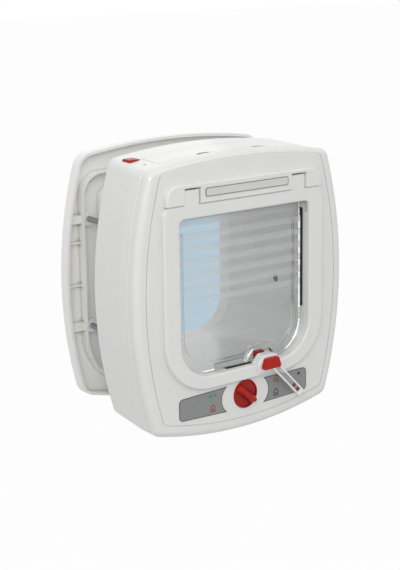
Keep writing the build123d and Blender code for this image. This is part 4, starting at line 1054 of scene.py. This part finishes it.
@dataclass
class Studio:
    """Pale floor, soft light and the camera that the photograph was taken from."""

    yaw_deg: float = 37.5
    elevation_deg: float = 13.66
    roll_deg: float = 0.79
    camera_mm: tuple[float, float, float] = (-734.5, -960.3, 285.0)
    lens_mm: float = 87.53
    clip_m: float = 100.0
    floor_z_mm: float = -420.0
    floor_m: float = 24.0
    floor_glow: float = 0.97
    floor_colour: str = "#C4C4C4"
    floor_roughness: float = 0.9
    ambient: float = 0.7
    seen_white: str = "#FFFFFF"
    seen_by: tuple[str, ...] = ("Is Camera Ray", "Is Glossy Ray", "Is Transmission Ray")
    card_m: float = 0.42
    card_at_m: tuple[float, float, float] = (0.31, 0.5, -0.11)
    card_colour: str = "#B4CBDA"
    lamps: tuple[tuple[str, tuple[float, float, float], float, float, float], ...] = (
        ("front_lamp", (-0.95, -1.15, 0.7), 7.0, 0.7, 0.6),
        ("left_strip", (-2.2, -0.9, 0.3), 3.0, 0.15, 2.4),
        ("top_lamp", (0.2, -0.7, 1.7), 4.0, 1.4, 1.4),
        ("rear_lamp", (0.8, 2.0, 0.8), 2.0, 1.4, 1.4),
    )

    def camera(self) -> None:
        """Set the camera from its fitted place and angles."""
        yaw, rise, roll = (math.radians(v) for v in (self.yaw_deg, self.elevation_deg, self.roll_deg))
        level = Vector((math.cos(yaw), -math.sin(yaw), 0))
        back = Vector((-math.sin(yaw) * math.cos(rise), -math.cos(yaw) * math.cos(rise), math.sin(rise)))
        up = back.cross(level)
        right = math.cos(roll) * level - math.sin(roll) * up
        top = math.sin(roll) * level + math.cos(roll) * up
        data = bpy.data.cameras.new("camera")
        data.lens = self.lens_mm
        data.clip_end = self.clip_m
        camera = bpy.data.objects.new("camera", data)
        bpy.context.collection.objects.link(camera)
        place = Matrix((right, top, back)).transposed().to_4x4()
        place.translation = Vector(self.camera_mm) * MM
        camera.matrix_world = place
        bpy.context.scene.camera = camera
        LOG.info("camera at %s", tuple(round(v, 3) for v in place.translation))

    def shown(self, tree: NodeTree, kinds: tuple[str, ...]) -> NodeSocket:
        """Tell rays that show the backdrop, straight on, mirrored or through clear plastic, from light.

        Args:
            tree: node tree of the floor, the card or the world.
            kinds: kinds of ray that show it.

        Returns:
            One for a ray of these kinds that has met no dull surface yet, else nought.
        """
        path = add_node(tree, "LightPath")
        any_of = path.outputs[kinds[0]]
        for kind in kinds[1:]:
            any_of = add_node(tree, "Math", links={0: any_of, 1: path.outputs[kind]},
                              operation="MAXIMUM").outputs[0]
        first = add_node(tree, "Math", {1: 1.0}, {0: path.outputs["Diffuse Depth"]}, operation="LESS_THAN")
        return add_node(tree, "Math", links={0: any_of, 1: first.outputs[0]},
                        operation="MULTIPLY").outputs[0]

    def glow(self, tree: NodeTree, share: NodeSocket, under: NodeSocket, colour: str) -> None:
        """Let a colour glow over what lies under it, as the surface of a material.

        Args:
            tree: node tree of the material.
            share: how much the colour covers.
            under: shader that it covers.
            colour: the colour.
        """
        light = add_node(tree, "Emission", {"Color": linear(colour), "Strength": 1.0})
        mixed = add_node(tree, "MixShader", links={0: share, 1: under, 2: light.outputs[0]})
        tree.links.new(mixed.outputs[0], tree.nodes["Material Output"].inputs["Surface"])

    def floor(self) -> None:
        """Add the pale floor under the object, white to the camera but for its shadow."""
        deselect()
        bpy.ops.mesh.primitive_plane_add(size=self.floor_m, location=(0, 0, self.floor_z_mm * MM))
        floor = bpy.context.object
        floor.name = "studio_floor"
        material, tree, shader = start_material("painted board, matt white", {
            "Base Color": linear(self.floor_colour), "Roughness": self.floor_roughness,
            "Specular IOR Level": 0.0})
        share = add_node(tree, "Math", {1: self.floor_glow}, {0: self.shown(tree, self.seen_by)},
                         operation="MULTIPLY")
        self.glow(tree, share.outputs[0], shader.outputs[0], self.seen_white)
        floor.data.materials.append(material)

    def card(self) -> None:
        """Hang a pale blue card behind the opening, there only for rays that come through the clear flap."""
        deselect()
        bpy.ops.mesh.primitive_plane_add(size=self.card_m, location=self.card_at_m,
                                         rotation=(math.pi / 2, 0, 0))
        card = bpy.context.object
        card.name = "studio_card"
        bpy.ops.object.transform_apply(location=True, rotation=True, scale=True)
        material, tree, _ = start_material("paper, pale blue", {})
        away = add_node(tree, "BsdfTransparent")
        self.glow(tree, self.shown(tree, ("Is Transmission Ray",)), away.outputs[0], self.card_colour)
        card.data.materials.append(material)

    def world(self) -> None:
        """Light the room evenly, and show the backdrop where a ray meets nothing."""
        world = bpy.data.worlds.new("studio")
        bpy.context.scene.world = world
        world.use_nodes = True
        tree = world.node_tree
        tree.nodes.clear()
        white = linear(self.seen_white)
        light = add_node(tree, "Background", {"Color": white, "Strength": self.ambient})
        seen = add_node(tree, "Background", {"Color": white, "Strength": 1.0})
        mixed = add_node(tree, "MixShader", links={0: self.shown(tree, self.seen_by),
                                                             1: light.outputs[0], 2: seen.outputs[0]})
        add_node(tree, "OutputWorld", links={"Surface": mixed.outputs[0]})

    def lamp(self, name: str, place: tuple[float, float, float], power: float, wide: float,
             high: float) -> None:
        """Add one soft lamp aimed at the object.

        Args:
            name: name of the lamp.
            place: where it hangs, in metres.
            power: watts.
            wide: width of its face, in metres.
            high: height of its face, in metres.
        """
        data = bpy.data.lights.new(name, "AREA")
        data.shape = "RECTANGLE"
        data.energy = power
        data.size = wide
        data.size_y = high
        lamp = bpy.data.objects.new(name, data)
        bpy.context.collection.objects.link(lamp)
        lamp.location = place
        lamp.rotation_euler = (-Vector(place)).to_track_quat("-Z", "Y").to_euler()

    def build(self) -> None:
        """Set up the whole studio."""
        self.camera()
        self.floor()
        self.card()
        self.world()
        for lamp in self.lamps:
            self.lamp(*lamp)
        bpy.context.scene.view_settings.view_transform = "Standard"


def main() -> None:
    """Dress the part and set the studio, in order."""
    logging.basicConfig(level=logging.INFO, format="%(name)s: %(message)s")
    Studio().build()
    finishes = Finishes()
    finishes.dress_nodes()
    for label in ("left_label", "right_label"):
        PrintedPlate(label, LABEL_GREY, LABEL_EDGE, "label_plastic").build(finishes)
    PrintedPlate("nameplate", PLATE_FACE, PLATE_EDGE, "plate_plastic").build(finishes)
    stencil = Stencil()
    stencil.build()
    LabelPrints().build(finishes, stencil)
    Pointer().build(finishes, stencil)
    stencil.clear()
    CoverNotches().build(finishes)
    DraughtStrips().build(finishes)
    ClampThreads().build(finishes)


if __name__ == "__main__":
    main()
